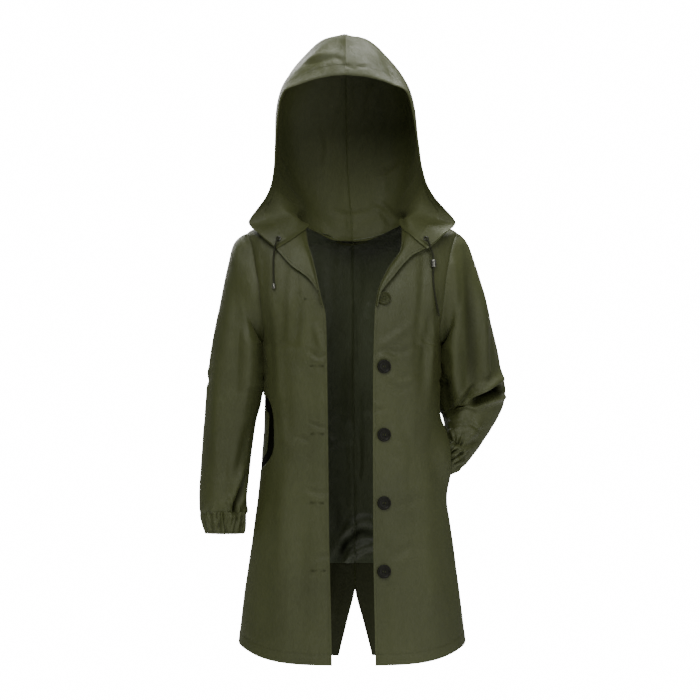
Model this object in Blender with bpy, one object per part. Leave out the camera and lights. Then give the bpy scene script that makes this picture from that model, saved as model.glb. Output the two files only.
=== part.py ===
"""Rain jacket: a knee-length hooded coat, worn open with no wearer, one hand's cuff at its pocket.

Metres, +Z up, the front faces -Y, +X is the viewer's right. The origin is the middle of the neck
ring at the height of the back neck seam. Every cloth piece is a thin wall between two grids of
points: an outer one, read from the garment's form, and an inner one, moved in along the normals.

The body's form is torso(side, phi, level). phi is the angle round a section in degrees: 0 at the
centre front, 90 at the side, 180 at the centre back. level is a row number in RINGS. side is -1
for the viewer's left and +1 for the right.
"""

import math

import bmesh
import bpy
import numpy as np

# ---------------------------------------------------------------- driving sizes
WALL = 0.0012  # cloth, as a wall
CLEAR = 0.0009  # under or over a panel whose points it doesn't share
SEAM = 0.0003  # between two pieces that are sewn together
ROUND = 2.5  # superellipse power of a body section: 2 is an ellipse

UNDERARM, TIP, NECK = 6, 9, 10  # levels in RINGS
BREAK = 6.9  # level where the front edge starts to turn out
ARMHOLE_SPREAD = 32.0  # degrees of phi, each way from the side
ARM_STEPS = 12  # rows of a panel between underarm and shoulder tip
FRONT_COLUMNS, BACK_COLUMNS = 11, 10

HEM_SIDE = -0.779  # the shirt-tail hem is highest at the side seams
HEM_POWER = 4.5
LINING_HEM = 1.56  # level

VENT_TOP = -0.690  # height where the back vent opens
VENT_X = 0.006
VENT_LEFT, VENT_RIGHT = -0.028, 0.042  # where its edges meet the hem

POCKET_MOUTH = {-1: (-0.446, -0.300), 1: (-0.500, -0.336)}  # heights
POCKET_CUT = {-1: 27.0, 1: 15.0}  # degrees of phi that the mouth's front edge stands back
POCKET_FLARE = {-1: 0.007, 1: 0.021}  # how far that edge lifts; the cuff is behind the right one
POCKET_POWER = {-1: 1.0, 1: 0.6}  # below 1 the mouth is fuller at its ends
POCKET_BACK = 52.0  # phi of the backing's forward edge
POCKET_LEVELS = (2.95, 5.1)

CUFF_WAVES = 16
CUFF_RUFFLE = 0.0022

BUTTON_X = 0.0605
BUTTON_TOP = -0.1165
BUTTON_PITCH = 0.129
BUTTON_COUNT = 5
BUTTON_RADIUS = 0.0128
BUTTON_THICK = 0.0036

CORD_RADIUS = 0.0018
CASING_SHARE = 0.11  # of a hood row, back from the rim

# Body sections, from the hem up.
RING_COLUMNS = ("z_front", "z_side", "z_back", "half_width", "front", "back")
RINGS = (
    (-0.8095, HEM_SIDE, -0.8300, 0.2205, 0.1360, 0.1350),
    (-0.7000, -0.7000, -0.7000, 0.2110, 0.1330, 0.1320),
    (-0.6000, -0.6000, -0.6000, 0.1975, 0.1300, 0.1290),
    (-0.5000, -0.5000, -0.5000, 0.1840, 0.1270, 0.1250),
    (-0.4000, -0.4000, -0.4000, 0.1750, 0.1260, 0.1200),
    (-0.3000, -0.3000, -0.3000, 0.1705, 0.1270, 0.1170),
    (-0.2080, -0.2050, -0.2050, 0.1735, 0.1270, 0.1180),
    (-0.1250, -0.1200, -0.1150, 0.1980, 0.1220, 0.1170),
    (-0.0750, -0.0450, -0.0500, 0.2080, 0.1070, 0.1080),
    (-0.0350, 0.0150, -0.0120, 0.2060, 0.0890, 0.0900),
    (-0.0150, 0.0380, 0.0030, 0.1060, 0.0780, 0.0620),
)

# Distance of the front edge from the middle, by level. Above BREAK it is the lapel's roll line.
EDGE_COLUMNS = ("level", "left", "right")
EDGES = (
    (0.0, 0.0380, 0.0443),
    (2.5, 0.0436, 0.0400),
    (5.0, 0.0464, 0.0396),
    (6.6, 0.0495, 0.0425),
    (7.2, 0.0590, 0.0465),
    (8.1, 0.0685, 0.0635),
    (9.1, 0.0800, 0.0925),
    (10.0, 0.0885, 0.0965),
)

# Free edge of the turned-out lapels: share of the way up, then level and distance from the middle.
LAPEL_COLUMNS = ("share", "left_level", "left_x", "right_level", "right_x")
LAPEL = (
    (0.0, 6.95, 0.0590, 6.90, 0.0478),
    (0.2, 7.30, 0.0650, 7.26, 0.0530),
    (0.4, 7.60, 0.0745, 7.73, 0.0720),
    (0.6, 7.90, 0.0890, 8.26, 0.0950),
    (0.8, 8.20, 0.1148, 8.60, 0.1170),
    (1.0, 8.75, 0.1455, 8.74, 0.1450),
)
LAPEL_LIFT = 0.0085  # of the soft roll
LAPEL_EDGE_LIFT = 0.0055  # of the free edge, which clears the top button

# Large soft folds in the body cloth: side, phi, width in degrees, z from and to, depth (in is minus).
FOLD_COLUMNS = ("side", "phi", "width", "z_low", "z_high", "depth")
FOLDS = (
    (1, 52.0, 5.0, -0.33, -0.09, -0.0060),
    (1, 62.0, 6.0, -0.31, -0.12, 0.0045),
    (-1, 58.0, 6.0, -0.31, -0.10, -0.0045),
    (-1, 40.0, 8.0, -0.78, -0.35, 0.0040),
    (1, 36.0, 8.0, -0.78, -0.45, 0.0035),
    (-1, 160.0, 6.0, -0.52, -0.24, -0.0060),
    (1, 166.0, 6.0, -0.60, -0.26, 0.0055),
    (-1, 128.0, 9.0, -0.80, -0.40, -0.0060),
    (1, 132.0, 9.0, -0.80, -0.42, -0.0060),
    (-1, 112.0, 8.0, -0.78, -0.46, 0.0050),
    (1, 114.0, 8.0, -0.78, -0.46, 0.0050),
)

# Hood rows from the neck seam to the top of the rim, each from the centre seam to the rim.
# x is measured from the hood's own middle, which leans by lean.
HOOD_COLUMNS = (
    "share",
    "back_y", "back_z",
    "side_x", "side_y", "side_z",
    "roll_x", "roll_y", "roll_z",
    "rim_x", "rim_y", "rim_z",
    "lean",
)  # fmt: skip
HOOD = (
    (0.05, 0.068, 0.012, 0.1060, 0.004, 0.046, 0.106, -0.052, 0.038, 0.1760, -0.070, 0.006, 0.000),
    (0.10, 0.074, 0.024, 0.1030, 0.008, 0.053, 0.120, -0.042, 0.048, 0.1975, -0.038, 0.030, 0.000),
    (0.16, 0.082, 0.040, 0.1020, 0.012, 0.062, 0.133, -0.036, 0.060, 0.1900, -0.040, 0.048, -0.001),
    (0.24, 0.094, 0.064, 0.1070, 0.018, 0.080, 0.135, -0.034, 0.080, 0.1660, -0.058, 0.076, -0.003),
    (0.33, 0.106, 0.102, 0.1210, 0.024, 0.115, 0.137, -0.032, 0.118, 0.1470, -0.074, 0.115, -0.006),
    (0.45, 0.114, 0.170, 0.1340, 0.026, 0.178, 0.139, -0.034, 0.180, 0.1370, -0.084, 0.182, -0.010),
    (0.60, 0.112, 0.244, 0.1340, 0.022, 0.240, 0.136, -0.036, 0.240, 0.1300, -0.090, 0.238, -0.012),
    (0.72, 0.096, 0.310, 0.1210, 0.010, 0.300, 0.123, -0.044, 0.294, 0.1180, -0.096, 0.279, -0.0125),
    (0.81, 0.070, 0.356, 0.1040, 0.000, 0.332, 0.104, -0.052, 0.318, 0.0900, -0.101, 0.293, -0.0125),
    (0.89, 0.038, 0.386, 0.0760, -0.006, 0.363, 0.073, -0.058, 0.342, 0.0560, -0.105, 0.303, -0.0125),
    (0.95, 0.010, 0.397, 0.0400, -0.014, 0.386, 0.037, -0.063, 0.359, 0.0270, -0.108, 0.308, -0.0125),
    (1.00, -0.012, 0.400, 0.0000, -0.046, 0.394, 0.000, -0.078, 0.358, 0.0000, -0.110, 0.310, -0.0125),
)  # fmt: skip
HOOD_STOPS = (0.0, 0.15, 0.30, 0.45, 0.74, 1.0)  # share of a row at its control points
HOOD_ROUND = 2.3

# Sleeve rings below the armhole. tilt turns a ring's outer side up from level, swing turns the
# sleeve's run forward; both in degrees. wide and deep are half sizes.
SLEEVE_COLUMNS = ("x", "y", "z", "tilt", "swing", "wide", "deep")
SLEEVE_LEFT = (
    (0.2050, 0.000, -0.1035, 77.5, 0.0, 0.1060, 0.0600),
    (0.2120, 0.000, -0.1387, 71.0, 0.0, 0.0938, 0.0600),
    (0.2183, -0.002, -0.1880, 60.6, 0.0, 0.0780, 0.0600),
    (0.2238, -0.004, -0.2360, 49.4, 1.0, 0.0672, 0.0590),
    (0.2288, -0.007, -0.2835, 34.8, 2.0, 0.0587, 0.0570),
    (0.2360, -0.011, -0.3375, 14.0, 3.0, 0.0508, 0.0550),
    (0.2430, -0.016, -0.4050, 6.0, 4.0, 0.0487, 0.0530),
    (0.2475, -0.021, -0.4610, 2.0, 4.0, 0.0480, 0.0515),
    (0.2502, -0.025, -0.5050, 0.0, 4.0, 0.0458, 0.0480),
    (0.2496, -0.027, -0.5290, 0.0, 3.0, 0.0440, 0.0440),
)
SLEEVE_RIGHT = (
    (0.2020, 0.000, -0.1035, 79.1, 0.0, 0.1054, 0.0600),
    (0.2110, 0.000, -0.1378, 71.8, -2.0, 0.0945, 0.0600),
    (0.2209, 0.006, -0.1863, 59.7, -8.0, 0.0802, 0.0600),
    (0.2288, 0.018, -0.2333, 47.8, -14.0, 0.0719, 0.0600),
    (0.2353, 0.034, -0.2748, 35.1, -16.0, 0.0657, 0.0600),
    (0.2405, 0.046, -0.3070, 22.0, -4.0, 0.0620, 0.0600),
    (0.2420, 0.046, -0.3340, 4.0, 18.0, 0.0570, 0.0590),
    (0.2365, 0.038, -0.3600, -14.0, 32.0, 0.0500, 0.0550),
    (0.2275, 0.026, -0.3785, -30.0, 36.0, 0.0435, 0.0490),
    (0.2185, 0.012, -0.3925, -42.0, 36.0, 0.0390, 0.0420),
    (0.2012, -0.006, -0.4168, -54.3, 32.0, 0.0307, 0.0330),
)
CUFF_LEFT_END = (0.2465, -0.029, -0.5680, 0.0, 2.0, 0.0375, 0.0385)
CUFF_RIGHT_END = (0.1835, -0.0250, -0.4315, -75.5, 4.0, 0.0262, 0.0180)

# Routes of the two drawcord ends, from the eyelet, over the casing's edge and down the front.
CORD_LEFT = (
    (-0.1408, -0.0832, -0.0008),
    (-0.1414, -0.0868, 0.0006),
    (-0.1432, -0.0898, -0.0030),
    (-0.1448, -0.0905, -0.0090),
    (-0.1468, -0.0888, -0.0165),
    (-0.1485, -0.0850, -0.0250),
    (-0.1497, -0.0832, -0.0350),
    (-0.1500, -0.0858, -0.0520),
    (-0.1498, -0.0902, -0.0710),
    (-0.1490, -0.0950, -0.0890),
)
CORD_RIGHT = (
    (0.1420, -0.0831, -0.0007),
    (0.1426, -0.0867, 0.0007),
    (0.1442, -0.0897, -0.0030),
    (0.1462, -0.0905, -0.0090),
    (0.1490, -0.0890, -0.0165),
    (0.1520, -0.0855, -0.0250),
    (0.1542, -0.0855, -0.0330),
    (0.1552, -0.0872, -0.0430),
    (0.1552, -0.0880, -0.0560),
    (0.1545, -0.0888, -0.0680),
    (0.1552, -0.0920, -0.0880),
    (0.1580, -0.0910, -0.1100),
    (0.1622, -0.0862, -0.1300),
    (0.1668, -0.0805, -0.1500),
)
CORD_END_RADIUS = 0.0055  # the metal end that the right cord passes through
CORD_END_HALF = 0.0070
CORD_END_AT = (7, 8)  # between these two points of its route
TIP_RADIUS = 0.0034
TIP_LENGTH = 0.0095

OLIVE = (0.052, 0.056, 0.026)
OLIVE_LINING = (0.070, 0.078, 0.048)
BUTTON_BROWN = (0.020, 0.019, 0.017)
CORD_GREEN = (0.045, 0.050, 0.028)
STEEL = (0.55, 0.55, 0.53)


# ---------------------------------------------------------------- curves and frames
def column(rows, columns, name):
    return np.array([row[columns.index(name)] for row in rows])


def smooth(at, values, where):
    """A smooth curve through values (n or n x k) at the places at, which never overshoots them."""
    at, values = np.asarray(at, float), np.asarray(values, float)
    extra = (None,) * (values.ndim - 1)
    step = np.diff(at)
    slope = np.diff(values, axis=0) / step[(slice(None), *extra)]
    before, after = slope[:-1], slope[1:]
    total = before + after
    mean = 2 * before * after / np.where(total == 0, 1, total)
    tangent = np.concatenate([slope[:1], np.where(before * after > 0, mean, 0), slope[-1:]])
    where = np.clip(np.asarray(where, float), at[0], at[-1])
    i = np.clip(np.searchsorted(at, where, side="right") - 1, 0, len(at) - 2)
    u = ((where - at[i]) / step[i])[(..., *extra)]
    h = step[i][(..., *extra)]
    return (
        (2 * u**3 - 3 * u**2 + 1) * values[i]
        + (u**3 - 2 * u**2 + u) * h * tangent[i]
        + (3 * u**2 - 2 * u**3) * values[i + 1]
        + (u**3 - u**2) * h * tangent[i + 1]
    )


def unit(vectors):
    return vectors / np.linalg.norm(vectors, axis=-1, keepdims=True)


def bump(x, low, high):
    """0 outside low to high, 1 in the middle, with soft ends."""
    share = np.clip((x - low) / (high - low), 0, 1)
    return np.sin(math.pi * share) ** 2


# ---------------------------------------------------------------- the body's form
def ring_values(level):
    table = np.array(RINGS)
    values = smooth(range(len(RINGS)), table, level)
    return {name: values[..., i] for i, name in enumerate(RING_COLUMNS)}


def phi_at(x, level, back=False):
    """The angle at which the section at this level is x from the middle."""
    share = np.clip(np.abs(x) / ring_values(level)["half_width"], 0, 1)
    phi = np.degrees(np.arcsin(share ** (ROUND / 2)))
    return 180 - phi if back else phi


def torso_form(phi, level):
    """Points of the viewer's right half, without folds."""
    ring = ring_values(level)
    angle = np.radians(phi)
    across = np.abs(np.sin(angle)) ** (2 / ROUND)
    along = np.abs(np.cos(angle)) ** (2 / ROUND)
    front = np.cos(angle) > 0
    y = np.where(front, -ring["front"], ring["back"]) * along
    power = 2 + (HEM_POWER - 2) * np.clip(1 - level, 0, 1)
    z_mid = np.where(front, ring["z_front"], ring["z_back"])
    z = z_mid + (ring["z_side"] - z_mid) * across**power
    return np.stack([ring["half_width"] * across, y, z], axis=-1)


def torso_normal(phi, level):
    ahead, above = 0.5, 0.02
    around = torso_form(phi + ahead, level) - torso_form(phi - ahead, level)
    low, high = np.clip(level - above, 0, NECK), np.clip(level + above, 0, NECK)
    upward = torso_form(phi, high) - torso_form(phi, low)
    return unit(np.cross(around, upward))


def fold_depth(side, phi, z):
    depth = np.zeros_like(phi, dtype=float)
    for row in FOLDS:
        fold = dict(zip(FOLD_COLUMNS, row))
        if fold["side"] == side:
            across = np.exp(-(((phi - fold["phi"]) / fold["width"]) ** 2))
            depth += fold["depth"] * across * bump(z, fold["z_low"], fold["z_high"])
    return depth


def torso(side, phi, level, lift=0.0):
    """(points, normals) of the body's outer face, lifted off it by lift."""
    phi, level = np.broadcast_arrays(np.asarray(phi, float), np.asarray(level, float))
    points, normals = torso_form(phi, level), torso_normal(phi, level)
    move = fold_depth(side, phi, points[..., 2]) + lift
    points = points + normals * np.asarray(move)[..., None]
    mirror = np.array([side, 1, 1])
    return points * mirror, normals * mirror


def armhole_reach(level):
    """How far the armhole's edge is from the side at this level, in degrees of phi."""
    middle, half = (UNDERARM + TIP) / 2, (TIP - UNDERARM) / 2
    return ARMHOLE_SPREAD * np.sqrt(np.clip(1 - ((level - middle) / half) ** 2, 0, 1))


def edge_x(side, level):
    name = "left" if side < 0 else "right"
    return smooth(column(EDGES, EDGE_COLUMNS, "level"), column(EDGES, EDGE_COLUMNS, name), level)


# ---------------------------------------------------------------- meshes
def material(name, colour, roughness, metallic=0.0):
    made = bpy.data.materials.new(name)
    made.use_nodes = True
    shader = made.node_tree.nodes["Principled BSDF"]
    shader.inputs["Base Color"].default_value = (*colour, 1)
    shader.inputs["Roughness"].default_value = roughness
    shader.inputs["Metallic"].default_value = metallic
    return made


def add_object(name, data, look):
    data.materials.append(material(f"{name} finish", *look))
    made = bpy.data.objects.new(name, data)
    bpy.context.scene.collection.objects.link(made)
    return made


def wall_mesh(name, outer, inner, tube=False):
    """A closed wall between two grids of points. A tube's last column joins its first."""
    rows, cols = outer.shape[:2]
    points = np.concatenate([outer.reshape(-1, 3), inner.reshape(-1, 3)])
    faces = []

    def at(row, col, layer):
        return layer * rows * cols + row * cols + col % cols

    def quad(a, b, c, d):
        faces.extend([(a, b, c), (a, c, d)])

    spans = cols if tube else cols - 1
    for row in range(rows - 1):
        for col in range(spans):
            for layer in (0, 1):
                a, b = at(row, col, layer), at(row, col + 1, layer)
                c, d = at(row + 1, col + 1, layer), at(row + 1, col, layer)
                if layer:
                    faces.extend([(a, c, b), (a, d, c)])
                else:
                    quad(a, b, c, d)
    for col in range(spans):
        quad(at(0, col, 1), at(0, col + 1, 1), at(0, col + 1, 0), at(0, col, 0))
        last = rows - 1
        quad(at(last, col, 0), at(last, col + 1, 0), at(last, col + 1, 1), at(last, col, 1))
    if not tube:
        for row in range(rows - 1):
            quad(at(row, 0, 0), at(row + 1, 0, 0), at(row + 1, 0, 1), at(row, 0, 1))
            last = cols - 1
            quad(at(row, last, 1), at(row + 1, last, 1), at(row + 1, last, 0), at(row, last, 0))
    corners = points[np.array(faces)]
    if np.einsum("ij,ij->i", corners[:, 0], np.cross(corners[:, 1], corners[:, 2])).sum() < 0:
        faces = [face[::-1] for face in faces]
    mesh = bpy.data.meshes.new(name)
    mesh.from_pydata([tuple(p) for p in points], [], faces)
    mesh.shade_smooth()
    mesh.set_sharp_from_angle(angle=math.radians(50))
    return mesh


def add_wall(name, outer, inner, look, tube=False):
    return add_object(name, wall_mesh(name, outer, inner, tube), look)


def pulled(grid, amounts):
    """The grid with its first and last columns and rows moved in: (left, right, low, high)."""
    left, right, low, high = amounts
    grid = grid.copy()
    grid[:, 0] += unit(grid[:, 1] - grid[:, 0]) * left
    grid[:, -1] += unit(grid[:, -2] - grid[:, -1]) * right
    grid[0] += unit(grid[1] - grid[0]) * low
    grid[-1] += unit(grid[-2] - grid[-1]) * high
    return grid


def grid_normals(grid, tube=False):
    """Unit normals of a grid of points, from its neighbours each way."""
    if tube:
        along = np.roll(grid, -1, axis=1) - np.roll(grid, 1, axis=1)
    else:
        along = np.gradient(grid, axis=1)
    return unit(np.cross(along, np.gradient(grid, axis=0)))


CLOTH = (OLIVE, 0.62)


# ---------------------------------------------------------------- body panels
def body_levels(lining=False, mouth_rows=2):
    """Rows of a body panel: hem, lining hem, pocket, underarm, armhole, shoulder."""
    low = [] if lining else np.linspace(0, LINING_HEM, 4)[:-1]
    hip = np.linspace(LINING_HEM, POCKET_LEVELS[0], 4)[:-1]
    pocket = np.linspace(*POCKET_LEVELS, mouth_rows + 1)[:-1]
    chest = np.linspace(POCKET_LEVELS[1], UNDERARM, 3)[:-1]
    angles = np.linspace(0, math.pi, ARM_STEPS + 1)
    arm = (UNDERARM + TIP) / 2 - (TIP - UNDERARM) / 2 * np.cos(angles)
    shoulder = np.linspace(TIP, NECK, 5)[1:]
    return np.concatenate([low, hip, pocket, chest, arm, shoulder])


def pocket_share(side, level):
    """1 at the middle of the pocket's mouth, 0 beyond its ends."""
    z = torso_form(np.full_like(level, 90.0), level)[..., 2]
    return bump(z, *POCKET_MOUTH[side]) ** POCKET_POWER[side]


def front_grid(side):
    levels = body_levels(mouth_rows=12)
    first = phi_at(edge_x(side, levels), levels)
    mouth = pocket_share(side, levels)
    last = 90 - armhole_reach(levels) - POCKET_CUT[side] * mouth
    share = np.linspace(0, 1, FRONT_COLUMNS)
    phi = first[:, None] + (last - first)[:, None] * share
    lift = POCKET_FLARE[side] * mouth[:, None] * np.clip(share * 4 - 3, 0, 1)
    outer, normals = torso(side, phi, levels[:, None], lift)
    outer = pulled(outer, (0, SEAM / 2, 0, SEAM / 2))
    return outer, outer - normals * WALL


def vent_x(side, levels):
    """x of a back half's centre edge: the seam, then the vent's slanting edge below it."""
    z = torso_form(np.full_like(levels, 180.0), levels)[..., 2]
    hem = VENT_LEFT if side < 0 else VENT_RIGHT
    low = RINGS[0][RING_COLUMNS.index("z_back")]
    share = np.clip((VENT_TOP - z) / (VENT_TOP - low), 0, 1)
    seam = smooth((low, VENT_TOP, -0.3, 0.01), (VENT_X, VENT_X, 0.004, 0.0), z)
    return seam + (hem - VENT_X) * share


def back_angles(side, levels):
    """Angles of a back half's grid in radians: its centre edge can lie past the middle."""
    centre = vent_x(side, levels)
    width = ring_values(levels)["half_width"]
    last = np.radians(90 + armhole_reach(levels))
    reach = side * centre / width
    start = math.pi - np.sign(reach) * np.arcsin(np.abs(reach) ** (ROUND / 2))
    share = np.linspace(0, 1, BACK_COLUMNS)
    return start[:, None] + (last - start)[:, None] * share


def torso_signed(side, angle, level, lift=0.0):
    """torso() for angles that may run past 180 degrees onto the other half."""
    phi = np.degrees(angle)
    over = phi > 180
    points, normals = torso(side, np.where(over, 360 - phi, phi), level, lift)
    flip = np.where(over, -1.0, 1.0)
    points[..., 0] *= flip
    normals[..., 0] *= flip
    return points, normals


def back_grid(side):
    levels = body_levels()
    angle = back_angles(side, levels)
    outer, normals = torso_signed(side, angle, levels[:, None])
    outer = pulled(outer, (SEAM / 2, SEAM / 2, 0, SEAM / 2))
    return outer, outer - normals * WALL


def lining_grid(side):
    """The back lining: the back's own points above its hem, moved in."""
    levels = body_levels(lining=True)
    angle = back_angles(side, levels)
    outer, normals = torso_signed(side, angle, levels[:, None], -(WALL + SEAM))
    outer = pulled(outer, (SEAM / 2, SEAM / 2, 0, SEAM / 2))
    return outer, outer - normals * WALL


def lapel_points(side, across, share, lift=0.0):
    """The turned-out lapel: across runs from the roll line (0) to the free edge (1)."""
    across, share = np.broadcast_arrays(np.asarray(across, float), np.asarray(share, float))
    name = "left" if side < 0 else "right"
    at = column(LAPEL, LAPEL_COLUMNS, "share")
    free_level = smooth(at, column(LAPEL, LAPEL_COLUMNS, f"{name}_level"), share)
    free_x = smooth(at, column(LAPEL, LAPEL_COLUMNS, f"{name}_x"), share)
    roll_level = BREAK + (NECK - BREAK) * share
    roll_x = edge_x(side, roll_level) + 0.0010 + 0.0008 * share
    level = roll_level + (free_level - roll_level) * across
    x = roll_x + (free_x - roll_x) * across
    roll = LAPEL_LIFT * np.sin(math.pi * across**0.7) * (0.35 + 0.65 * share) * (1 - 0.5 * share**3)
    height = CLEAR * (1 + share) + roll + LAPEL_EDGE_LIFT * across + lift
    return torso(side, phi_at(x, level), level, height)


def lapel_grid(side):
    turn = HOOD_STOPS[-2]
    across = (HOOD_SHARES[HOOD_SHARES >= turn] - turn) / (1 - turn)
    share = np.linspace(0, 1, 10)
    inner, normals = lapel_points(side, across[None, :], share[:, None])
    # The hood's edge leaves the roll line steeply, so the lapel's top stands a little further off.
    inner = pulled(inner, (0, 0, 0, 4 * SEAM))
    return inner + normals * WALL, inner


# ---------------------------------------------------------------- hood
def neck_rows(side, shares):
    """(outer, inner) of the hood's lowest row: on the neck seam, then on the lapel's top edge.

    The lapel is turned over, so there the hood's outer face continues the lapel's lower one.
    """
    turn = HOOD_STOPS[-2]
    last = phi_at(edge_x(side, NECK), NECK)
    phi = 180 + (last - 180) * np.clip(shares / turn, 0, 1)
    neck, normal = torso(side, phi, NECK)
    below, _ = torso(side, phi, NECK - 0.1)
    neck = neck + unit(neck - below) * SEAM
    out = np.clip((shares - turn) / (1 - turn), 0, 1)
    lapel, lapel_normal = lapel_points(side, out, 1.0)
    under, _ = lapel_points(side, out, 0.97)
    lapel = lapel + unit(lapel - under) * SEAM
    on_lapel = (shares > turn)[:, None]
    outer = np.where(on_lapel, lapel, neck)
    inner = np.where(on_lapel, lapel + lapel_normal * WALL, neck - normal * WALL)
    # At the roll line itself the wall stands on edge, its inner face towards the front opening.
    at_turn = (np.abs(shares - turn) < 1e-6)[:, None]
    middle = lapel + lapel_normal * WALL / 2
    outward = unit(torso(side, phi + 2, NECK)[0] - neck) * WALL / 2
    return np.where(at_turn, middle + outward, outer), np.where(at_turn, middle - outward, inner)


def hood_rows(side, shares):
    """Each table row of one hood half, read at shares from the centre seam to the rim."""
    rows = [neck_rows(side, shares)[0]]
    for values in HOOD:
        row = dict(zip(HOOD_COLUMNS, values))
        angles = np.radians([0, 30, 60, 90])
        across = np.sin(angles) ** (2 / HOOD_ROUND)
        along = np.cos(angles) ** (2 / HOOD_ROUND)
        points = [
            (
                row["side_x"] * a,
                row["side_y"] + (row["back_y"] - row["side_y"]) * b,
                row["side_z"] + (row["back_z"] - row["side_z"]) * (1 - a**2),
            )
            for a, b in zip(across, along)
        ]
        points.append((row["roll_x"], row["roll_y"], row["roll_z"]))
        points.append((row["rim_x"], row["rim_y"], row["rim_z"]))
        made = smooth(HOOD_STOPS, points, shares)
        made[:, 0] = side * made[:, 0] + row["lean"]
        rows.append(made)
    return np.array(rows)


def hood_surface(side, shares, rises):
    """(points, normals, middle) of one hood half: rows up the rim, columns from the centre seam."""
    at = np.concatenate([[0], column(HOOD, HOOD_COLUMNS, "share")])
    points = smooth(at, hood_rows(side, shares), rises)
    normals = grid_normals(points)
    if (normals[len(rises) // 2, len(shares) // 2, 0] > 0) != (side > 0):
        normals = -normals
    # On the centre seam the normal stays in the middle plane. The two seam lines meet at a corner.
    normals[-1, 0] = normals[-1, 1] + normals[-2, 0]
    for line in (normals[:, 0], normals[-1]):
        line[:, 0] = 0
        line /= np.linalg.norm(line, axis=-1, keepdims=True)
    lean = np.concatenate([[0], column(HOOD, HOOD_COLUMNS, "lean")])
    return points, normals, smooth(at, lean, rises)[:, None]


HOOD_RISES = np.array(
    [0, 0.02, 0.05, 0.10, 0.15, 0.20, 0.25, 0.30, 0.36, 0.44, 0.52, 0.60, 0.67, 0.74, 0.81, 0.87, 0.93, 1]
)
HOOD_SHARES = np.array([0, 0.09, 0.18, 0.27, 0.36, 0.45, 0.55, 0.65, 0.74, 0.80, 0.85, 0.90, 0.95, 1])


def off_middle(grid, middle, side):
    """The grid with every point at least half a seam to its own side of the centre seam."""
    grid = grid.copy()
    grid[..., 0] = middle + side * np.maximum((grid[..., 0] - middle) * side, SEAM / 2)
    return grid


def hood_grid(side):
    outer, normals, middle = hood_surface(side, HOOD_SHARES, HOOD_RISES)
    inner = outer - normals * WALL
    inner[0] = neck_rows(side, HOOD_SHARES)[1]
    # The inner edge on the centre seam runs in and out a little, so the wall's edge isn't one plane.
    rows, cols = np.indices(inner.shape[:2])
    waver = np.where((rows + cols) % 2, 2.0 * SEAM, 0.5 * SEAM)
    return off_middle(outer, middle, side), off_middle(inner, middle + side * waver, side)


def casing_grid(side):
    """The rim's casing on one half: the hood's own points, moved in past its inner face."""
    outer, normals, middle = hood_surface(side, HOOD_SHARES, HOOD_RISES)
    first = np.searchsorted(HOOD_SHARES, 1 - CASING_SHARE)
    _, inner = hood_grid(side)
    outer = (inner - normals * 2 * SEAM)[:, first:]
    outer[0] += unit(outer[1] - outer[0]) * 0.0015
    outer[:, -1] += unit(outer[:, -2] - outer[:, -1]) * 0.0010
    inner = outer - normals[:, first:] * WALL
    return off_middle(outer, middle, side), off_middle(inner, middle, side)


# ---------------------------------------------------------------- sleeves
def ring_points(row, angles):
    values = dict(zip(SLEEVE_COLUMNS, row))
    tilt, swing = math.radians(values["tilt"]), math.radians(values["swing"])
    outward = np.array([math.cos(tilt), 0, math.sin(tilt)])
    run = np.array(
        [
            math.sin(tilt) * math.cos(swing),
            -math.sin(swing),
            -math.cos(tilt) * math.cos(swing),
        ]
    )
    forward = np.cross(run, outward)
    centre = np.array([values["x"], values["y"], values["z"]])
    return (
        centre
        + np.cos(angles)[:, None] * outward * values["wide"]
        + np.sin(angles)[:, None] * forward * values["deep"]
    )


def armhole_ring(side, angles):
    """(outer, inner) edge of the armhole, a seam's width into the opening."""
    middle, half = (UNDERARM + TIP) / 2, (TIP - UNDERARM) / 2
    level = middle + half * np.cos(angles)
    phi = 90 - ARMHOLE_SPREAD * np.sin(angles)
    points, normals = torso(side, phi, level)
    inward = points.mean(axis=0) - points
    inward = unit(inward - np.einsum("ij,ij->i", inward, normals)[:, None] * normals)
    outer = points + inward * SEAM
    return outer, outer - normals * WALL


def sleeve_rings(side, table, angles, steps):
    """Rings from the armhole to the cuff seam, read at steps (row numbers, 0 is the armhole)."""
    first, _ = armhole_ring(side, angles)
    mirror = np.array([side, 1, 1])
    rest = [ring_points(row, angles) * mirror for row in table]
    return smooth(range(len(table) + 1), np.array([first, *rest]), steps)


def inside_of(outer):
    """A tube's inner face: its rings moved in by the wall."""
    normals = grid_normals(outer, tube=True)
    centre = outer.mean(axis=1, keepdims=True)
    if np.einsum("ijk,ijk->", normals, outer - centre) < 0:
        normals = -normals
    return outer - normals * WALL


def sleeve_grid(side, table):
    angles = np.linspace(0, 2 * math.pi, 2 * ARM_STEPS, endpoint=False)
    steps = np.concatenate([[0, 0.5], np.arange(1, len(table) + 1)])
    outer = sleeve_rings(side, table, angles, steps)
    inner = inside_of(outer)
    inner[0] = armhole_ring(side, angles)[1]
    outer[-1] += unit(outer[-2] - outer[-1]) * SEAM / 2
    inner[-1] += unit(inner[-2] - inner[-1]) * SEAM / 2
    return outer, inner


def cuff_grid(side, start, end):
    """The elastic cuff: a ring of gathers, deepest between its two sewn edges."""
    angles = np.linspace(0, 2 * math.pi, CUFF_WAVES * 4, endpoint=False)
    mirror = np.array([side, 1, 1])
    ends = np.array([ring_points(start, angles), ring_points(end, angles)]) * mirror
    shares = np.array([0, 0.35, 1])
    outer = smooth((0, 1), ends, shares)
    centre = outer.mean(axis=1, keepdims=True)
    depth = CUFF_RUFFLE * np.array([0.15, 1, 0.6])[:, None] * np.cos(CUFF_WAVES * angles)
    uneven = 1 + 0.35 * np.sin(3 * angles + 1) * np.cos(2 * angles)
    outer = outer + unit(outer - centre) * (depth * uneven)[..., None]
    outer[0] += unit(outer[1] - outer[0]) * SEAM / 2
    return outer, outer - unit(outer - centre) * WALL


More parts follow.
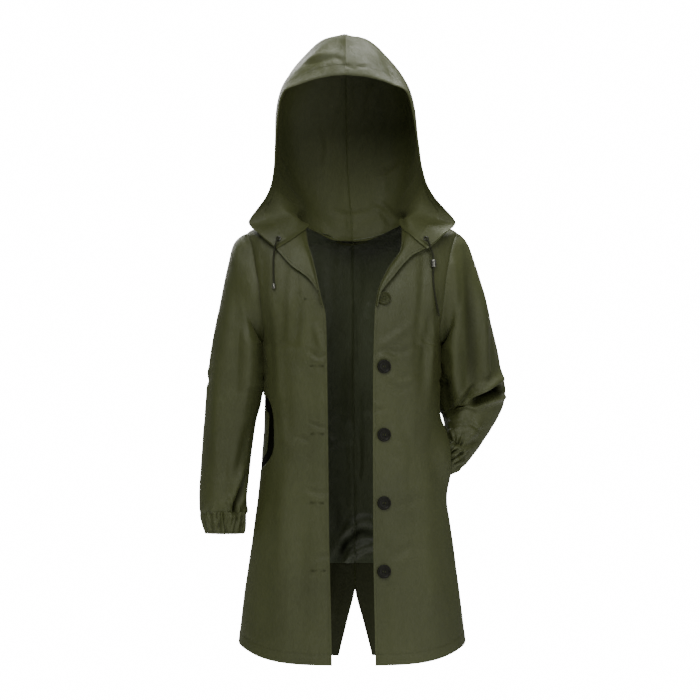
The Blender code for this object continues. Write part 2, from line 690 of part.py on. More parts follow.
# ---------------------------------------------------------------- trimmings
def pocket_grid(side):
    """The pocket's backing behind its mouth: close under the front, sunk at the mouth."""
    low, high = POCKET_MOUTH[side]
    z = np.linspace(low - 0.02, high + 0.02, 10)
    heights = np.linspace(0, UNDERARM, 200)
    levels = np.interp(z, torso_form(np.full(200, 90.0), heights)[:, 2], heights)
    share = np.linspace(0, 1, 9)
    phi = POCKET_BACK + (88.6 - POCKET_BACK) * share[None, :] + 0 * levels[:, None]
    sink = 0.0085 * bump(z, z[0], z[-1])[:, None] * np.sin(math.pi * share) ** 0.6
    outer, normals = torso(side, phi, levels[:, None], -(WALL + CLEAR) - sink)
    return outer, outer - normals * WALL


def hang_loop_grid():
    """A short flat loop across the centre back, just under the neck seam."""
    across = np.linspace(-1, 1, 9)
    levels = np.linspace(NECK - 0.32, NECK - 0.12, 3)
    out = 2 * WALL + 2 * SEAM + 0.004 * np.cos(across * math.pi / 2) ** 2
    rows = []
    for level in levels:
        points = []
        for share, lift in zip(across, out):
            side = 1 if share >= 0 else -1
            phi = 180 - 9 * abs(share)
            point, normal = torso(side, phi, level, -lift)
            if share == 0:
                point[0], normal[0] = 0, 0
            points.append((point, unit(normal)))
        rows.append(points)
    outer = np.array([[p for p, _ in row] for row in rows])
    normals = np.array([[n for _, n in row] for row in rows])
    return outer, outer - normals * WALL


def turned_mesh(name, profile, segments):
    """A mesh turned round Z from a profile of (radius, height), bottom centre to top centre."""
    mesh = bmesh.new()
    rings = []
    for radius, height in profile:
        if radius == 0:
            rings.append([mesh.verts.new((0, 0, height))])
            continue
        rings.append(
            [
                mesh.verts.new(
                    (
                        radius * math.cos(2 * math.pi * i / segments),
                        radius * math.sin(2 * math.pi * i / segments),
                        height,
                    )
                )
                for i in range(segments)
            ]
        )
    for low, high in zip(rings, rings[1:]):
        for i in range(segments):
            j = (i + 1) % segments
            corners = [low[i % len(low)], low[j % len(low)], high[j % len(high)], high[i % len(high)]]
            mesh.faces.new(list(dict.fromkeys(corners)))
    bmesh.ops.recalc_face_normals(mesh, faces=mesh.faces)
    data = bpy.data.meshes.new(name)
    mesh.to_mesh(data)
    mesh.free()
    data.shade_smooth()
    data.set_sharp_from_angle(angle=math.radians(40))
    return data


def ring_mesh(name, profile, segments):
    """A ring turned round Z from a closed loop of (radius, height)."""
    mesh = bmesh.new()
    loops = []
    for i in range(segments):
        turn = 2 * math.pi * i / segments
        c, s = math.cos(turn), math.sin(turn)
        loops.append([mesh.verts.new((radius * c, radius * s, height)) for radius, height in profile])
    for i in range(segments):
        here, there = loops[i], loops[(i + 1) % segments]
        for k in range(len(profile)):
            m = (k + 1) % len(profile)
            mesh.faces.new((here[k], there[k], there[m], here[m]))
    bmesh.ops.recalc_face_normals(mesh, faces=mesh.faces)
    data = bpy.data.meshes.new(name)
    mesh.to_mesh(data)
    mesh.free()
    data.shade_smooth()
    data.set_sharp_from_angle(angle=math.radians(40))
    return data


def face_along(made, point, normal):
    """Places an object with its base at point and its +Z along normal."""
    normal = unit(np.asarray(normal, float))
    made.location = point
    made.rotation_mode = "QUATERNION"
    from_z = np.array([0, 0, 1.0])
    axis = np.cross(from_z, normal)
    quaternion = np.array([1 + from_z @ normal, *axis])
    made.rotation_quaternion = quaternion / np.linalg.norm(quaternion)


def add_buttons():
    profile = (
        (0, 0), (BUTTON_RADIUS * 0.82, 0), (BUTTON_RADIUS, BUTTON_THICK * 0.45),
        (BUTTON_RADIUS * 0.93, BUTTON_THICK), (BUTTON_RADIUS * 0.72, BUTTON_THICK * 0.86),
        (BUTTON_RADIUS * 0.62, BUTTON_THICK * 0.62), (0, BUTTON_THICK * 0.56),
    )  # fmt: skip
    heights = np.linspace(0, NECK, 400)
    at_x = torso_form(phi_at(BUTTON_X, heights), heights)
    for i in range(BUTTON_COUNT):
        z = BUTTON_TOP - i * BUTTON_PITCH
        level = float(np.interp(z, at_x[:, 2], heights))
        point, normal = torso(1, phi_at(BUTTON_X, level), level, SEAM)
        look = (BUTTON_BROWN if i else OLIVE, 0.35)
        made = add_object(f"button_{i + 1}", turned_mesh(f"button {i + 1}", profile, 16), look)
        face_along(made, point, normal)


def add_cord(name, route):
    """A drawcord end: a tube through a smooth curve along its route."""
    route = np.array(route)
    run = np.concatenate([[0], np.cumsum(np.linalg.norm(np.diff(route, axis=0), axis=1))])
    count = max(8, round(run[-1] / (5 * CORD_RADIUS)))
    points = smooth(run, route, np.linspace(0, run[-1], count))
    curve = bpy.data.curves.new(name, "CURVE")
    curve.dimensions = "3D"
    curve.bevel_depth = CORD_RADIUS
    curve.bevel_resolution = 2
    curve.use_fill_caps = True
    spline = curve.splines.new("POLY")
    spline.points.add(count - 1)
    for spline_point, point in zip(spline.points, points):
        spline_point.co = (*point, 1)
    return add_object(name, curve, (CORD_GREEN, 0.8))


EYELET = ((0.0026, 0), (0.0052, 0), (0.0050, 0.0009), (0.0038, 0.0014), (0.0028, 0.0010))


def eyelet_place(side):
    """Where the eyelet stands: on the casing's inner face, near its lower end."""
    shares, rises = np.array([0, 0.3, 0.90, 0.94, 0.97]), np.array([0.0, 0.013, 0.03])
    points, normals, _ = hood_surface(side, shares, rises)
    normal = -normals[1, 3]
    return points[1, 3] + normal * (2 * WALL + CLEAR), normal


def add_trimmings():
    for side, name in ((-1, "left"), (1, "right")):
        point, normal = eyelet_place(side)
        made = add_object(f"eyelet_{name}", ring_mesh(f"eyelet {name}", EYELET, 16), (STEEL, 0.3, 1.0))
        face_along(made, point, normal)
    add_cord("drawcord_left", CORD_LEFT)
    add_cord("drawcord_right", CORD_RIGHT)
    bore, outside, half = CORD_RADIUS + 2 * SEAM, CORD_END_RADIUS, CORD_END_HALF
    barrel = (
        (bore, -half), (outside * 0.8, -half), (outside, -half * 0.8),
        (outside, half * 0.8), (outside * 0.8, half), (bore, half),
    )  # fmt: skip
    above, below = (np.array(CORD_RIGHT[i]) for i in CORD_END_AT)
    made = add_object("cord_end_right", ring_mesh("cord end", barrel, 16), (STEEL, 0.3, 1.0))
    face_along(made, (above + below) / 2, above - below)
    knot = (
        (0, 0), (TIP_RADIUS * 0.7, TIP_LENGTH * 0.06), (TIP_RADIUS, TIP_LENGTH * 0.3),
        (TIP_RADIUS * 0.85, TIP_LENGTH * 0.6), (TIP_RADIUS * 0.6, TIP_LENGTH * 0.9), (0, TIP_LENGTH),
    )  # fmt: skip
    last, before = np.array(CORD_LEFT[-1]), np.array(CORD_LEFT[-2])
    run = unit(last - before)
    made = add_object("cord_tip_left", turned_mesh("cord tip", knot, 12), (CORD_GREEN, 0.8))
    face_along(made, last + run * SEAM, run)


# ---------------------------------------------------------------- the jacket
def build():
    for side, name in ((-1, "left"), (1, "right")):
        add_wall(f"front_{name}", *front_grid(side), CLOTH)
        add_wall(f"back_{name}", *back_grid(side), CLOTH)
        add_wall(f"lining_{name}", *lining_grid(side), (OLIVE_LINING, 0.55))
        add_wall(f"lapel_{name}", *lapel_grid(side), CLOTH)
        add_wall(f"hood_{name}", *hood_grid(side), CLOTH)
        add_wall(f"hood_casing_{name}", *casing_grid(side), CLOTH)
        add_wall(f"pocket_{name}", *pocket_grid(side), CLOTH)
        table = SLEEVE_LEFT if side < 0 else SLEEVE_RIGHT
        end = CUFF_LEFT_END if side < 0 else CUFF_RIGHT_END
        add_wall(f"sleeve_{name}", *sleeve_grid(side, table), CLOTH, tube=True)
        add_wall(f"cuff_{name}", *cuff_grid(side, table[-1], end), CLOTH, tube=True)
    add_wall("hang_loop", *hang_loop_grid(), (CORD_GREEN, 0.8))
    add_buttons()
    add_trimmings()


for old in list(bpy.data.objects):
    bpy.data.objects.remove(old, do_unlink=True)
build()
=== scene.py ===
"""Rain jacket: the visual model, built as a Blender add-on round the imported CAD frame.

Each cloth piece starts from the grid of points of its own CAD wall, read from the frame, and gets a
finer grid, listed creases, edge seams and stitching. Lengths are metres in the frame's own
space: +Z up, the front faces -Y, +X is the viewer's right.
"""

import math

import bmesh
import bpy
import numpy as np
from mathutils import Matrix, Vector


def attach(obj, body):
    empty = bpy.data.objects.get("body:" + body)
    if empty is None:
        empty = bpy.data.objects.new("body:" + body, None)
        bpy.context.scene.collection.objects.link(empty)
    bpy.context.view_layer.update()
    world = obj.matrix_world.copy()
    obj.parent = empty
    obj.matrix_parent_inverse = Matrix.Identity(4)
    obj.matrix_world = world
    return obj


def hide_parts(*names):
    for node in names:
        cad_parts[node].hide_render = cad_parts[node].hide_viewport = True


bl_info = {
    "name": "Rain Jacket",
    "version": (1, 0, 0),
    "blender": (4, 5, 0),
    "location": "3D Viewport > Sidebar > Jacket",
    "description": "Builds a hooded rain jacket with its sewing, trimmings and studio",
    "category": "Object",
}

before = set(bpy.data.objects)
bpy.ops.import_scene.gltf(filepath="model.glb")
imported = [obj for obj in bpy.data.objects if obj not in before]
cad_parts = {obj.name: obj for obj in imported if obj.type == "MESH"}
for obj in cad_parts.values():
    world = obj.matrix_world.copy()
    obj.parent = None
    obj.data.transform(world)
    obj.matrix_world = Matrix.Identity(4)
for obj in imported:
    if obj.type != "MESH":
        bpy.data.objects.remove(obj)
SIDES = ("left", "right")
WALL = 0.0012  # the CAD cloth's thickness
UV_SCALE = 10.0  # UV units for each metre of cloth
RIM_SLACKS = (3e-6, 1e-4, 4e-4)  # how far an edge across the wall may be from its thickness, tried in turn
BODY_MIDDLE_Y = 0.005  # the middle of the body, front to back
EASED = 0.010  # the CAD walls' kinks are eased over this length


# ------------------------------------------------------------------ numbers and curves
def unit(vectors):
    length = np.linalg.norm(vectors, axis=-1, keepdims=True)
    return vectors / np.where(length < 1e-12, 1, length)


def lengths_from(steps):
    """The length so far at each point of a line, from the steps between its points."""
    return np.concatenate([[0], np.cumsum(steps)])


def line_lengths(points):
    return lengths_from(np.linalg.norm(np.diff(points, axis=0), axis=1))


def soft_step(x, low, high):
    t = np.clip((x - low) / (high - low), 0, 1)
    return t * t * (3 - 2 * t)


def through(at, values, where):
    """A smooth curve through values at uneven places at, read at where."""
    at, values, where = np.asarray(at, float), np.asarray(values, float), np.asarray(where, float)
    wide = (None,) * (values.ndim - 1)
    step = np.diff(at)
    slope = np.diff(values, axis=0) / step[(slice(None), *wide)]
    before, after = step[:-1][(slice(None), *wide)], step[1:][(slice(None), *wide)]
    inner = (slope[:-1] * after + slope[1:] * before) / (before + after)
    tangent = np.concatenate([slope[:1], inner, slope[-1:]])
    i = np.clip(np.searchsorted(at, where, side="right") - 1, 0, len(at) - 2)
    u, h = ((where - at[i]) / step[i])[(..., *wide)], step[i][(..., *wide)]
    return (
        (2 * u**3 - 3 * u**2 + 1) * values[i]
        + (u**3 - 2 * u**2 + u) * h * tangent[i]
        + (3 * u**2 - 2 * u**3) * values[i + 1]
        + (u**3 - u**2) * h * tangent[i + 1]
    )


SCATTER = (374761393, 668265263, 2147483647, 1274126177)  # large odd numbers that spread a cell's bits


def value_noise(points, seed):
    """Smooth noise from -1 to 1 on a unit lattice, at n points of two columns."""
    cell = np.floor(points).astype(int)
    part = points - cell
    part = part * part * (3 - 2 * part)

    def corner(dx, dy):
        key = (cell[:, 0] + dx) * SCATTER[0] + (cell[:, 1] + dy) * SCATTER[1] + seed * SCATTER[2]
        key = (key ^ (key >> 13)) * SCATTER[3] & 0xFFFFFFFF
        return (key ^ (key >> 16)) % 65536 / 32767.5 - 1

    low = corner(0, 0) * (1 - part[:, 0]) + corner(1, 0) * part[:, 0]
    high = corner(0, 1) * (1 - part[:, 0]) + corner(1, 1) * part[:, 0]
    return low * (1 - part[:, 1]) + high * part[:, 1]


# ------------------------------------------------------------------ reading a CAD wall's grid
def wall_layers(node):
    """The triangles of a wall's two faces, without its rim: (points, [faces, faces])."""
    mesh = node.data
    mesh.calc_loop_triangles()
    points = np.array([v.co for v in mesh.vertices], float)
    faces = np.array([t.vertices for t in mesh.loop_triangles])
    _, first, index = np.unique(
        np.round(points / 1e-7).astype(np.int64), axis=0, return_index=True, return_inverse=True
    )
    points, faces = points[first], index.reshape(-1)[faces]
    sides = np.linalg.norm(points[faces] - points[np.roll(faces, 1, axis=1)], axis=2)
    for slack in RIM_SLACKS:  # only the rim crosses the wall, and a seam may lengthen it
        layers = parted(faces, (np.abs(sides - WALL) < slack).any(axis=1))
        owned = [np.unique(layer) for layer in layers]
        if len(layers) == 2 and len(owned[0]) == len(owned[1]) == len(points) / 2:
            return points, layers
    raise ValueError(f"{node.name} is not a cloth wall of two equal faces")


def parted(faces, on_rim):
    """The two largest sets of faces that join edge to edge off the rim."""
    inner = faces[~on_rim]
    pairs = np.sort(np.concatenate([inner[:, (0, 1)], inner[:, (1, 2)], inner[:, (2, 0)]]), axis=1)
    owner = np.tile(np.arange(len(inner)), 3)
    order = np.lexsort((pairs[:, 1], pairs[:, 0]))
    same = (pairs[order][1:] == pairs[order][:-1]).all(axis=1)
    one, other = owner[order][:-1][same], owner[order][1:][same]
    group = np.arange(len(inner))
    while True:
        before = group.copy()
        lowest = np.minimum(group[one], group[other])
        np.minimum.at(group, one, lowest)
        np.minimum.at(group, other, lowest)
        group = group[group]
        if (group == before).all():
            break
    names, counts = np.unique(group, return_counts=True)
    largest = names[np.argsort(-counts)[:2]]
    return [faces[np.isin(faces, inner[group == name]).all(axis=1)] for name in largest]


def walk_grid(faces, points):
    """Point numbers of one face of a wall as rows and columns, and whether the rows are rings."""
    around, count = {}, {}
    for k, face in enumerate(faces):
        for a, b in ((face[0], face[1]), (face[1], face[2]), (face[2], face[0])):
            around.setdefault(frozenset((int(a), int(b))), []).append(k)
            count[int(a)] = count.get(int(a), 0) + 1
    edge = {}
    for pair, owners in around.items():
        if len(owners) == 1:
            a, b = pair
            edge.setdefault(a, []).append(b)
            edge.setdefault(b, []).append(a)

    def run(start, following, stop):
        line = [start, following]
        while not stop(line[-1]):
            line.append(next(p for p in edge[line[-1]] if p != line[-2]))
        return line

    def fill(first, ring):
        rows, used = [first], set()
        while True:
            row, made = rows[-1], {}
            spans = len(row) if ring else len(row) - 1
            for k in range(spans):
                a, b = row[k], row[(k + 1) % len(row)]
                near = [t for t in around.get(frozenset((a, b)), []) if t not in used]
                if not near:
                    return rows
                c = next(int(p) for p in faces[near[0]] if p not in (a, b))
                used.add(near[0])
                far = [t for t in around.get(frozenset((a, c)), []) if t not in used]
                if not far:
                    return rows
                d = next(int(p) for p in faces[far[0]] if p not in (a, c))
                used.add(far[0])
                made[(k + 1) % len(row)], made[k] = c, d
            rows.append([made[k] for k in range(len(row))])

    ends = sorted(p for p in edge if count[p] == 1)
    if ends:
        start = min(p for p in edge if count[p] == 2)
        return np.array(fill(run(start, edge[start][0], lambda p: count[p] == 1), False)), False
    start = max(edge, key=lambda p: points[p][2])
    tries = []
    for following in edge[start]:
        ring = run(start, following, lambda p: p == start)[:-1]
        rows = np.array(fill(ring, True))
        length = np.linalg.norm(points[rows[1:]] - points[rows[:-1]], axis=2).mean()
        tries.append((length, rows))
    return min(tries, key=lambda made: made[0])[1], True


def read_wall(name, forward_last=False):
    """The outer grid of a CAD wall, its outward normals' sign and whether its rows are rings.

    Rows run up from the hem, or down from the armhole, and columns away from the centre seam, or
    towards the front where forward_last is set.
    """
    points, layers = wall_layers(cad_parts[name])
    grids = []
    for faces in layers:
        rows, ring = walk_grid(faces, points)
        grids.append(points[rows])
    if ring:
        spread = [unit_spread(grid) for grid in grids]
    else:
        spread = [np.hypot(grid[..., 0], grid[..., 1] - BODY_MIDDLE_Y).mean() for grid in grids]
    outer, inner = (grids[i] for i in np.argsort(spread)[::-1])
    if ring:
        if unit_spread(outer[:1]) < unit_spread(outer[-1:]):
            outer = outer[::-1]
    else:
        rise, across = outer[-1].mean(axis=0) - outer[0].mean(axis=0), outer[:, -1] - outer[:, 0]
        if abs(rise[2]) < abs(across.mean(axis=0)[2]):
            outer = outer.transpose(1, 0, 2)
        if outer[-1, :, 2].mean() < outer[0, :, 2].mean():
            outer = outer[::-1]
        key = -outer[..., 1] if forward_last else np.abs(outer[..., 0])
        if key[:, -1].mean() < key[:, 0].mean():
            outer = outer[:, ::-1]
    inner = inner.reshape(-1, 3)
    sample = outer[::3, ::3].reshape(-1, 3)
    nearest = inner[np.linalg.norm(sample[:, None] - inner[None], axis=2).argmin(axis=1)]
    normals = grid_normals(outer, ring)[::3, ::3].reshape(-1, 3)
    sign = 1.0 if np.einsum("ij,ij->", sample - nearest, normals) > 0 else -1.0
    return outer, sign, ring


def unit_spread(rings):
    return np.linalg.norm(rings - rings.mean(axis=1, keepdims=True), axis=2).mean()


def grid_normals(grid, ring):
    if ring:
        along = np.roll(grid, -1, axis=1) - np.roll(grid, 1, axis=1)
    else:
        along = np.gradient(grid, axis=1)
    return unit(np.cross(along, np.gradient(grid, axis=0)))


class Cloth:
    """A fine grid of points on a CAD wall's outer face, with its normals and its cloth lengths."""

    def __init__(self, name, spacing, forward_last=False):
        coarse, self.sign, self.ring = read_wall(name, forward_last)
        self.grid = relaxed(finer(coarse, self.ring, spacing), self.ring, round((EASED / spacing) ** 2))
        self.measure()

    def measure(self):
        """Normals, and the lengths along the rows (u) and up the columns (v) that place cloth detail."""
        self.normals = grid_normals(self.grid, self.ring) * self.sign
        across = np.linalg.norm(np.diff(self.grid, axis=1), axis=2)
        up = np.linalg.norm(np.diff(self.grid, axis=0), axis=2)
        rows, cols = self.grid.shape[:2]
        self.u = np.concatenate([np.zeros((rows, 1)), np.cumsum(across, axis=1)], axis=1)
        self.v = np.concatenate([np.zeros((1, cols)), np.cumsum(up, axis=0)], axis=0)

    def from_edge(self, edge):
        """Each point's cloth distance from one edge: low, high, first or last."""
        if edge == "low":
            return self.v
        if edge == "high":
            return self.v[-1:] - self.v
        return self.u if edge == "first" else self.u[:, -1:] - self.u

    def move(self, amount):
        """Moves every point along its normal."""
        self.grid = self.grid + self.normals * np.broadcast_to(amount, self.u.shape)[..., None]

    def tuck(self, edge, reach, drop):
        """Adds a seam allowance: the edge goes on past the seam and turns in below its neighbour."""
        grid, normals = self.grid, self.normals
        by_row = edge in ("low", "high")
        if not by_row:
            grid, normals = grid.transpose(1, 0, 2), normals.transpose(1, 0, 2)
        if edge in ("high", "last"):
            grid, normals = grid[::-1], normals[::-1]
        way = unit(grid[0] - grid[2])
        strips = [grid[0] + way * reach * t - normals[0] * drop * t**0.7 for t in (1.0, 0.5)]
        grid = np.concatenate([np.array(strips), grid])
        if edge in ("high", "last"):
            grid = grid[::-1]
        self.grid = grid if by_row else grid.transpose(1, 0, 2)

    def inset_line(self, edge, inset, lift=0.0):
        """Points and normals of a line on the cloth, at a distance in from one edge."""
        away = self.from_edge(edge)
        by_row = edge in ("low", "high")
        lines = away.T if by_row else away
        count = lines.shape[1]
        grid = self.grid.transpose(1, 0, 2) if by_row else self.grid
        normals = self.normals.transpose(1, 0, 2) if by_row else self.normals
        points, facing = [], []
        for line, place, normal in zip(lines, grid, normals):
            order = np.argsort(line)
            where = np.interp(inset, line[order], np.arange(count)[order])
            low = min(int(where), count - 2)
            part = where - low
            points.append(place[low] * (1 - part) + place[low + 1] * part)
            facing.append(normal[low] * (1 - part) + normal[low + 1] * part)
        facing = unit(np.array(facing))
        return np.array(points) + facing * lift, facing


def relaxed(grid, ring, rounds):
    """The grid with its kinks eased, its open edges kept."""
    grid = grid.copy()
    for _ in range(rounds):
        grid[1:-1, 1:-1] += 0.5 * ((grid[2:, 1:-1] + grid[:-2, 1:-1]) / 2 - grid[1:-1, 1:-1])
        if ring:
            for k in (0, -1):
                grid[1:-1, k] += 0.5 * ((grid[2:, k] + grid[:-2, k]) / 2 - grid[1:-1, k])
    return grid


def finer(grid, ring, spacing):
    """The grid again at about this spacing, on smooth curves through its points."""
    if ring:
        pad = 3
        grid = np.concatenate([grid[:, -pad:], grid, grid[:, : pad + 1]], axis=1)
    across = lengths_from(np.linalg.norm(np.diff(grid, axis=1), axis=2).mean(axis=0))
    up = lengths_from(np.linalg.norm(np.diff(grid, axis=0), axis=2).mean(axis=1))
    up = np.maximum(up, np.arange(len(up)) * 1e-5)
    if ring:
        first, last = across[pad], across[-pad - 1]
        count = 2 * round((last - first) / spacing / 2)
        where = np.linspace(first, last, count, endpoint=False)
    else:
        where = np.linspace(0, across[-1], max(3, round(across[-1] / spacing) + 1))
    rows = through(up, grid, np.linspace(0, up[-1], max(3, round(up[-1] / spacing) + 1)))
    return through(across, rows.transpose(1, 0, 2), where).transpose(1, 0, 2)


# ------------------------------------------------------------------ folds
# Each fold is (height, half width, points) in millimetres. Points are the place in the picture
# plane of the view it is seen from: across from the middle and up from the back neck. Height is
# towards the viewer, so a trough is negative.
FRONT_FOLDS = (
    # left front
    (-2.6, 9, (-131, -15, -132, -80, -136, -175, -140, -205)),
    (1.8, 8, (-160, -25, -158, -110, -148, -190, -142, -300)),
    (-2.2, 11, (-117, -80, -108, -140, -117, -200)),
    (1.6, 10, (-96, -60, -92, -150, -98, -230)),
    (-1.4, 14, (-84, -170, -80, -300, -90, -420)),
    (2.4, 6, (-72, -168, -66, -190, -60, -214)),
    (-2.6, 5, (-84, -216, -68, -228, -56, -226)),
    (-2.4, 4, (-84, -357, -64, -364, -48, -367)),
    (-1.8, 5, (-104, -384, -86, -392)),
    (-2.0, 5, (-86, -486, -70, -492, -48, -493)),
    (1.1, 7, (-84, -500, -70, -507, -52, -508)),
    (-2.0, 5, (-78, -628, -60, -617, -42, -615)),
    (1.3, 8, (-70, -640, -62, -628, -46, -624)),
    (1.8, 9, (-150, -190, -142, -310, -132, -390, -112, -400)),
    (-1.6, 16, (-165, -470, -160, -600, -168, -760)),
    (1.8, 18, (-125, -450, -128, -600, -136, -790)),
    (-1.5, 15, (-92, -520, -96, -640, -100, -800)),
    # right front
    (-3.0, 8, (139, -30, 136, -110, 130, -180, 126, -260)),
    (2.6, 8, (155, -50, 157, -170, 152, -270, 146, -330)),
    (-2.0, 8, (172, -110, 168, -220, 166, -300)),
    (2.4, 8, (56, -205, 84, -189, 118, -160)),
    (-2.4, 7, (62, -215, 94, -219, 124, -207)),
    (2.6, 6, (44, -240, 60, -226, 80, -232)),
    (2.2, 7, (78, -268, 104, -277, 120, -268)),
    (-2.0, 7, (62, -276, 84, -290, 110, -292)),
    (1.8, 5, (45, -318, 56, -322)),
    (-1.6, 5, (45, -334, 62, -330)),
    (1.8, 10, (84, -370, 100, -410, 98, -450)),
    (-1.6, 9, (74, -408, 92, -425)),
    (-1.2, 8, (84, -520, 110, -512, 134, -500)),
    (-1.6, 8, (84, -618, 110, -600, 130, -608)),
    (1.2, 9, (80, -636, 108, -622, 134, -628)),
    (-1.5, 16, (98, -330, 112, -470, 108, -590)),
    (1.7, 18, (150, -430, 156, -590, 168, -770)),
    (-1.6, 15, (128, -480, 126, -640, 130, -800)),
    (1.4, 14, (84, -560, 80, -700, 84, -810)),
    (-1.8, 6, (170, -290, 178, -330, 188, -362)),
)
SLEEVE_FOLDS = (
    # left sleeve
    (-4.4, 9, (-186, -10, -182, -60, -180, -120, -178, -200)),
    (-2.6, 14, (-232, -60, -226, -180, -222, -290)),
    (2.8, 12, (-208, -50, -204, -160, -206, -260, -214, -360)),
    (2.6, 12, (-262, -110, -266, -230, -268, -340, -262, -440)),
    (-4.0, 9, (-204, -370, -212, -410, -222, -450)),
    (-13.0, 5.5, (-203, -452, -211, -480, -222, -505, -230, -530)),
    (-5.0, 5, (-230, -516, -226, -534, -222, -552)),
    (4.2, 7, (-212, -446, -228, -480, -238, -505, -246, -520)),
    (1.6, 9, (-262, -470, -270, -500, -278, -520)),
    (-1.5, 5, (-218, 8, -206, -4, -198, -20)),
    (-2.2, 8, (-250, -420, -246, -470, -250, -512)),
    # right sleeve
    (-9.0, 14, (224, -25, 230, -100, 233, -175, 235, -240, 236, -280)),
    (5.0, 10, (198, -50, 203, -180, 211, -255, 217, -290)),
    (4.4, 8, (257, -90, 258, -200, 256, -268)),
    (-4.0, 6, (273, -150, 274, -220, 272, -262, 262, -276)),
    (-9.0, 12, (180, -224, 183, -270, 192, -312, 200, -338)),
    (4.0, 7, (205, -220, 208, -268, 214, -296)),
    (-30.0, 8.0, (306, -289, 284, -293, 262, -302, 240, -314)),
    (7.0, 7, (302, -266, 284, -272, 262, -283, 236, -300)),
    (6.0, 8, (300, -306, 280, -306, 262, -314, 236, -332)),
    (-6.0, 4, (238, -286, 222, -303, 204, -328)),
    (4.0, 5, (252, -290, 234, -307, 214, -324)),
    (-2.4, 4, (192, -346, 206, -336, 224, -331, 240, -337)),
    (-2.6, 4, (186, -372, 206, -362, 226, -359)),
    (-2.8, 4, (226, -352, 244, -367, 256, -372)),
    (-2.6, 6, (190, -388, 220, -397, 250, -392)),
    (2.6, 9, (188, -380, 222, -382, 262, -362)),
    (-2.6, 5, (194, -412, 212, -420, 230, -438)),
    (1.8, 7, (206, -408, 226, -412, 244, -404)),
)
INSIDE_FOLDS = (
    # hood
    (-2.6, 5, (38, 128, 60, 132, 78, 144, 90, 156)),
    (1.6, 9, (-30, 240, -28, 160, -34, 60)),
    (-1.6, 12, (-62, 220, -66, 140, -60, 90)),
    (-1.8, 14, (70, 240, 74, 190, 66, 120)),
    (-3.0, 5, (58, 70, 74, 56, 88, 40)),
    (2.6, 6, (40, 66, 58, 54, 72, 34)),
    (1.6, 10, (-14, 60, -18, 20)),
    (-1.8, 7, (-74, 30, -58, 22, -48, 4)),
    # back
    (-5.0, 11, (-4, -240, -6, -310, -4, -385)),
    (2.4, 5, (2, -120, 5, -200, 5, -280)),
    (-1.8, 8, (20, -20, 28, -70, 24, -140)),
    (2.0, 8, (-20, -20, -30, -90, -26, -170)),
    (-3.0, 5, (-47, -386, -28, -400, -10, -414)),
    (3.4, 6, (-4, -362, -1, -410, -2, -470, 0, -545)),
    (3.0, 5, (10, -370, 14, -430, 12, -470)),
    (-2.6, 5, (4, -390, 6, -450)),
    (-3.0, 6, (22, -300, 26, -400, 22, -470)),
    (3.6, 6, (-28, -628, -33, -670, -37, -698, -42, -732)),
    (-2.4, 6, (-18, -640, -22, -680, -30, -720)),
)
LINING_FOLDS = (  # the lining's slack above its hem, which the back behind it doesn't share
    (-6.5, 11, (-34, -485, -27, -540, -24, -600)),
    (-13.0, 8, (-26, -632, -16, -600, 0, -580, 18, -569, 42, -573)),
    (11.0, 10, (-14, -624, 6, -608, 26, -597, 42, -594)),
    (6.0, 9, (-32, -600, -18, -570, 2, -553, 22, -543, 44, -547)),
)
HOOD_FOLDS = (
    (-2.6, 5, (-92, 342, -70, 348, -50, 352, -34, 356, -20, 350)),
    (2.2, 6, (-90, 352, -64, 358, -40, 362)),
    (-1.6, 3, (-24, 338, -12, 340, 0, 336)),
    (-1.6, 3, (12, 338, 26, 336)),
    (-2.6, 8, (62, 356, 72, 332, 84, 312)),
    (1.8, 10, (40, 372, 62, 340, 74, 320)),
)
BACK_FOLDS = (
    (-2.4, 12, (-60, -40, -50, -160, -56, -280)),
    (2.2, 13, (-100, -60, -90, -200, -96, -330)),
    (2.0, 12, (48, -60, 58, -190, 50, -320)),
    (-2.6, 12, (96, -70, 90, -210, 100, -350)),
    (-2.2, 8, (-150, -150, -120, -190, -84, -210)),
    (-2.2, 8, (152, -160, 118, -196, 80, -206)),
    (-2.0, 9, (-120, -330, -70, -352, -24, -340)),
    (2.0, 9, (-110, -350, -64, -372, -20, -362)),
    (-2.2, 9, (116, -340, 66, -358, 20, -346)),
    (-2.2, 16, (-120, -450, -128, -610, -134, -790)),
    (2.4, 18, (-70, -430, -74, -600, -80, -800)),
    (2.2, 18, (122, -450, 130, -610, 140, -790)),
    (-2.4, 16, (72, -430, 76, -600, 84, -800)),
    (-2.4, 7, (0, -560, -4, -600, -10, -650)),
    (-4.0, 8, (-228, -250, -200, -262, -178, -252)),
    (3.0, 9, (-232, -228, -206, -240, -180, -232)),
    (-3.0, 8, (232, -230, 208, -262, 190, -300)),
    (3.0, 8, (250, -240, 226, -270, 204, -312)),
    (-2.2, 9, (-262, -330, -240, -380, -236, -440)),
    (-4.0, 7, (-222, -490, -230, -510, -240, -528)),
    (-2.0, 7, (-70, 250, -50, 200, -56, 140)),
    (2.0, 9, (60, 260, 50, 190, 64, 110)),
    (-2.0, 7, (-40, 60, 0, 52, 44, 62)),
    (-1.8, 8, (70, 330, 40, 300, 30, 250)),
)
SIDE_FOLDS = (
    (-2.6, 9, (-20, 200, 20, 150, 60, 130)),
    (2.2, 9, (-30, 160, 16, 120, 56, 96)),
    (-2.6, 8, (-40, 90, 0, 60, 40, 60)),
    (2.0, 8, (-46, 60, -6, 36, 30, 30)),
    (-1.8, 10, (10, 320, 40, 260, 50, 200)),
    (-2.2, 10, (0, -120, 6, -200, -4, -260)),
    (2.2, 10, (-24, -150, -20, -240, -26, -330)),
    (-2.0, 16, (20, -440, 26, -600, 34, -770)),
    (2.2, 18, (-40, -470, -44, -620, -52, -780)),
    (-2.6, 7, (-30, -270, 0, -282, 28, -276)),
    (2.0, 8, (-28, -252, 4, -264, 30, -258)),
)
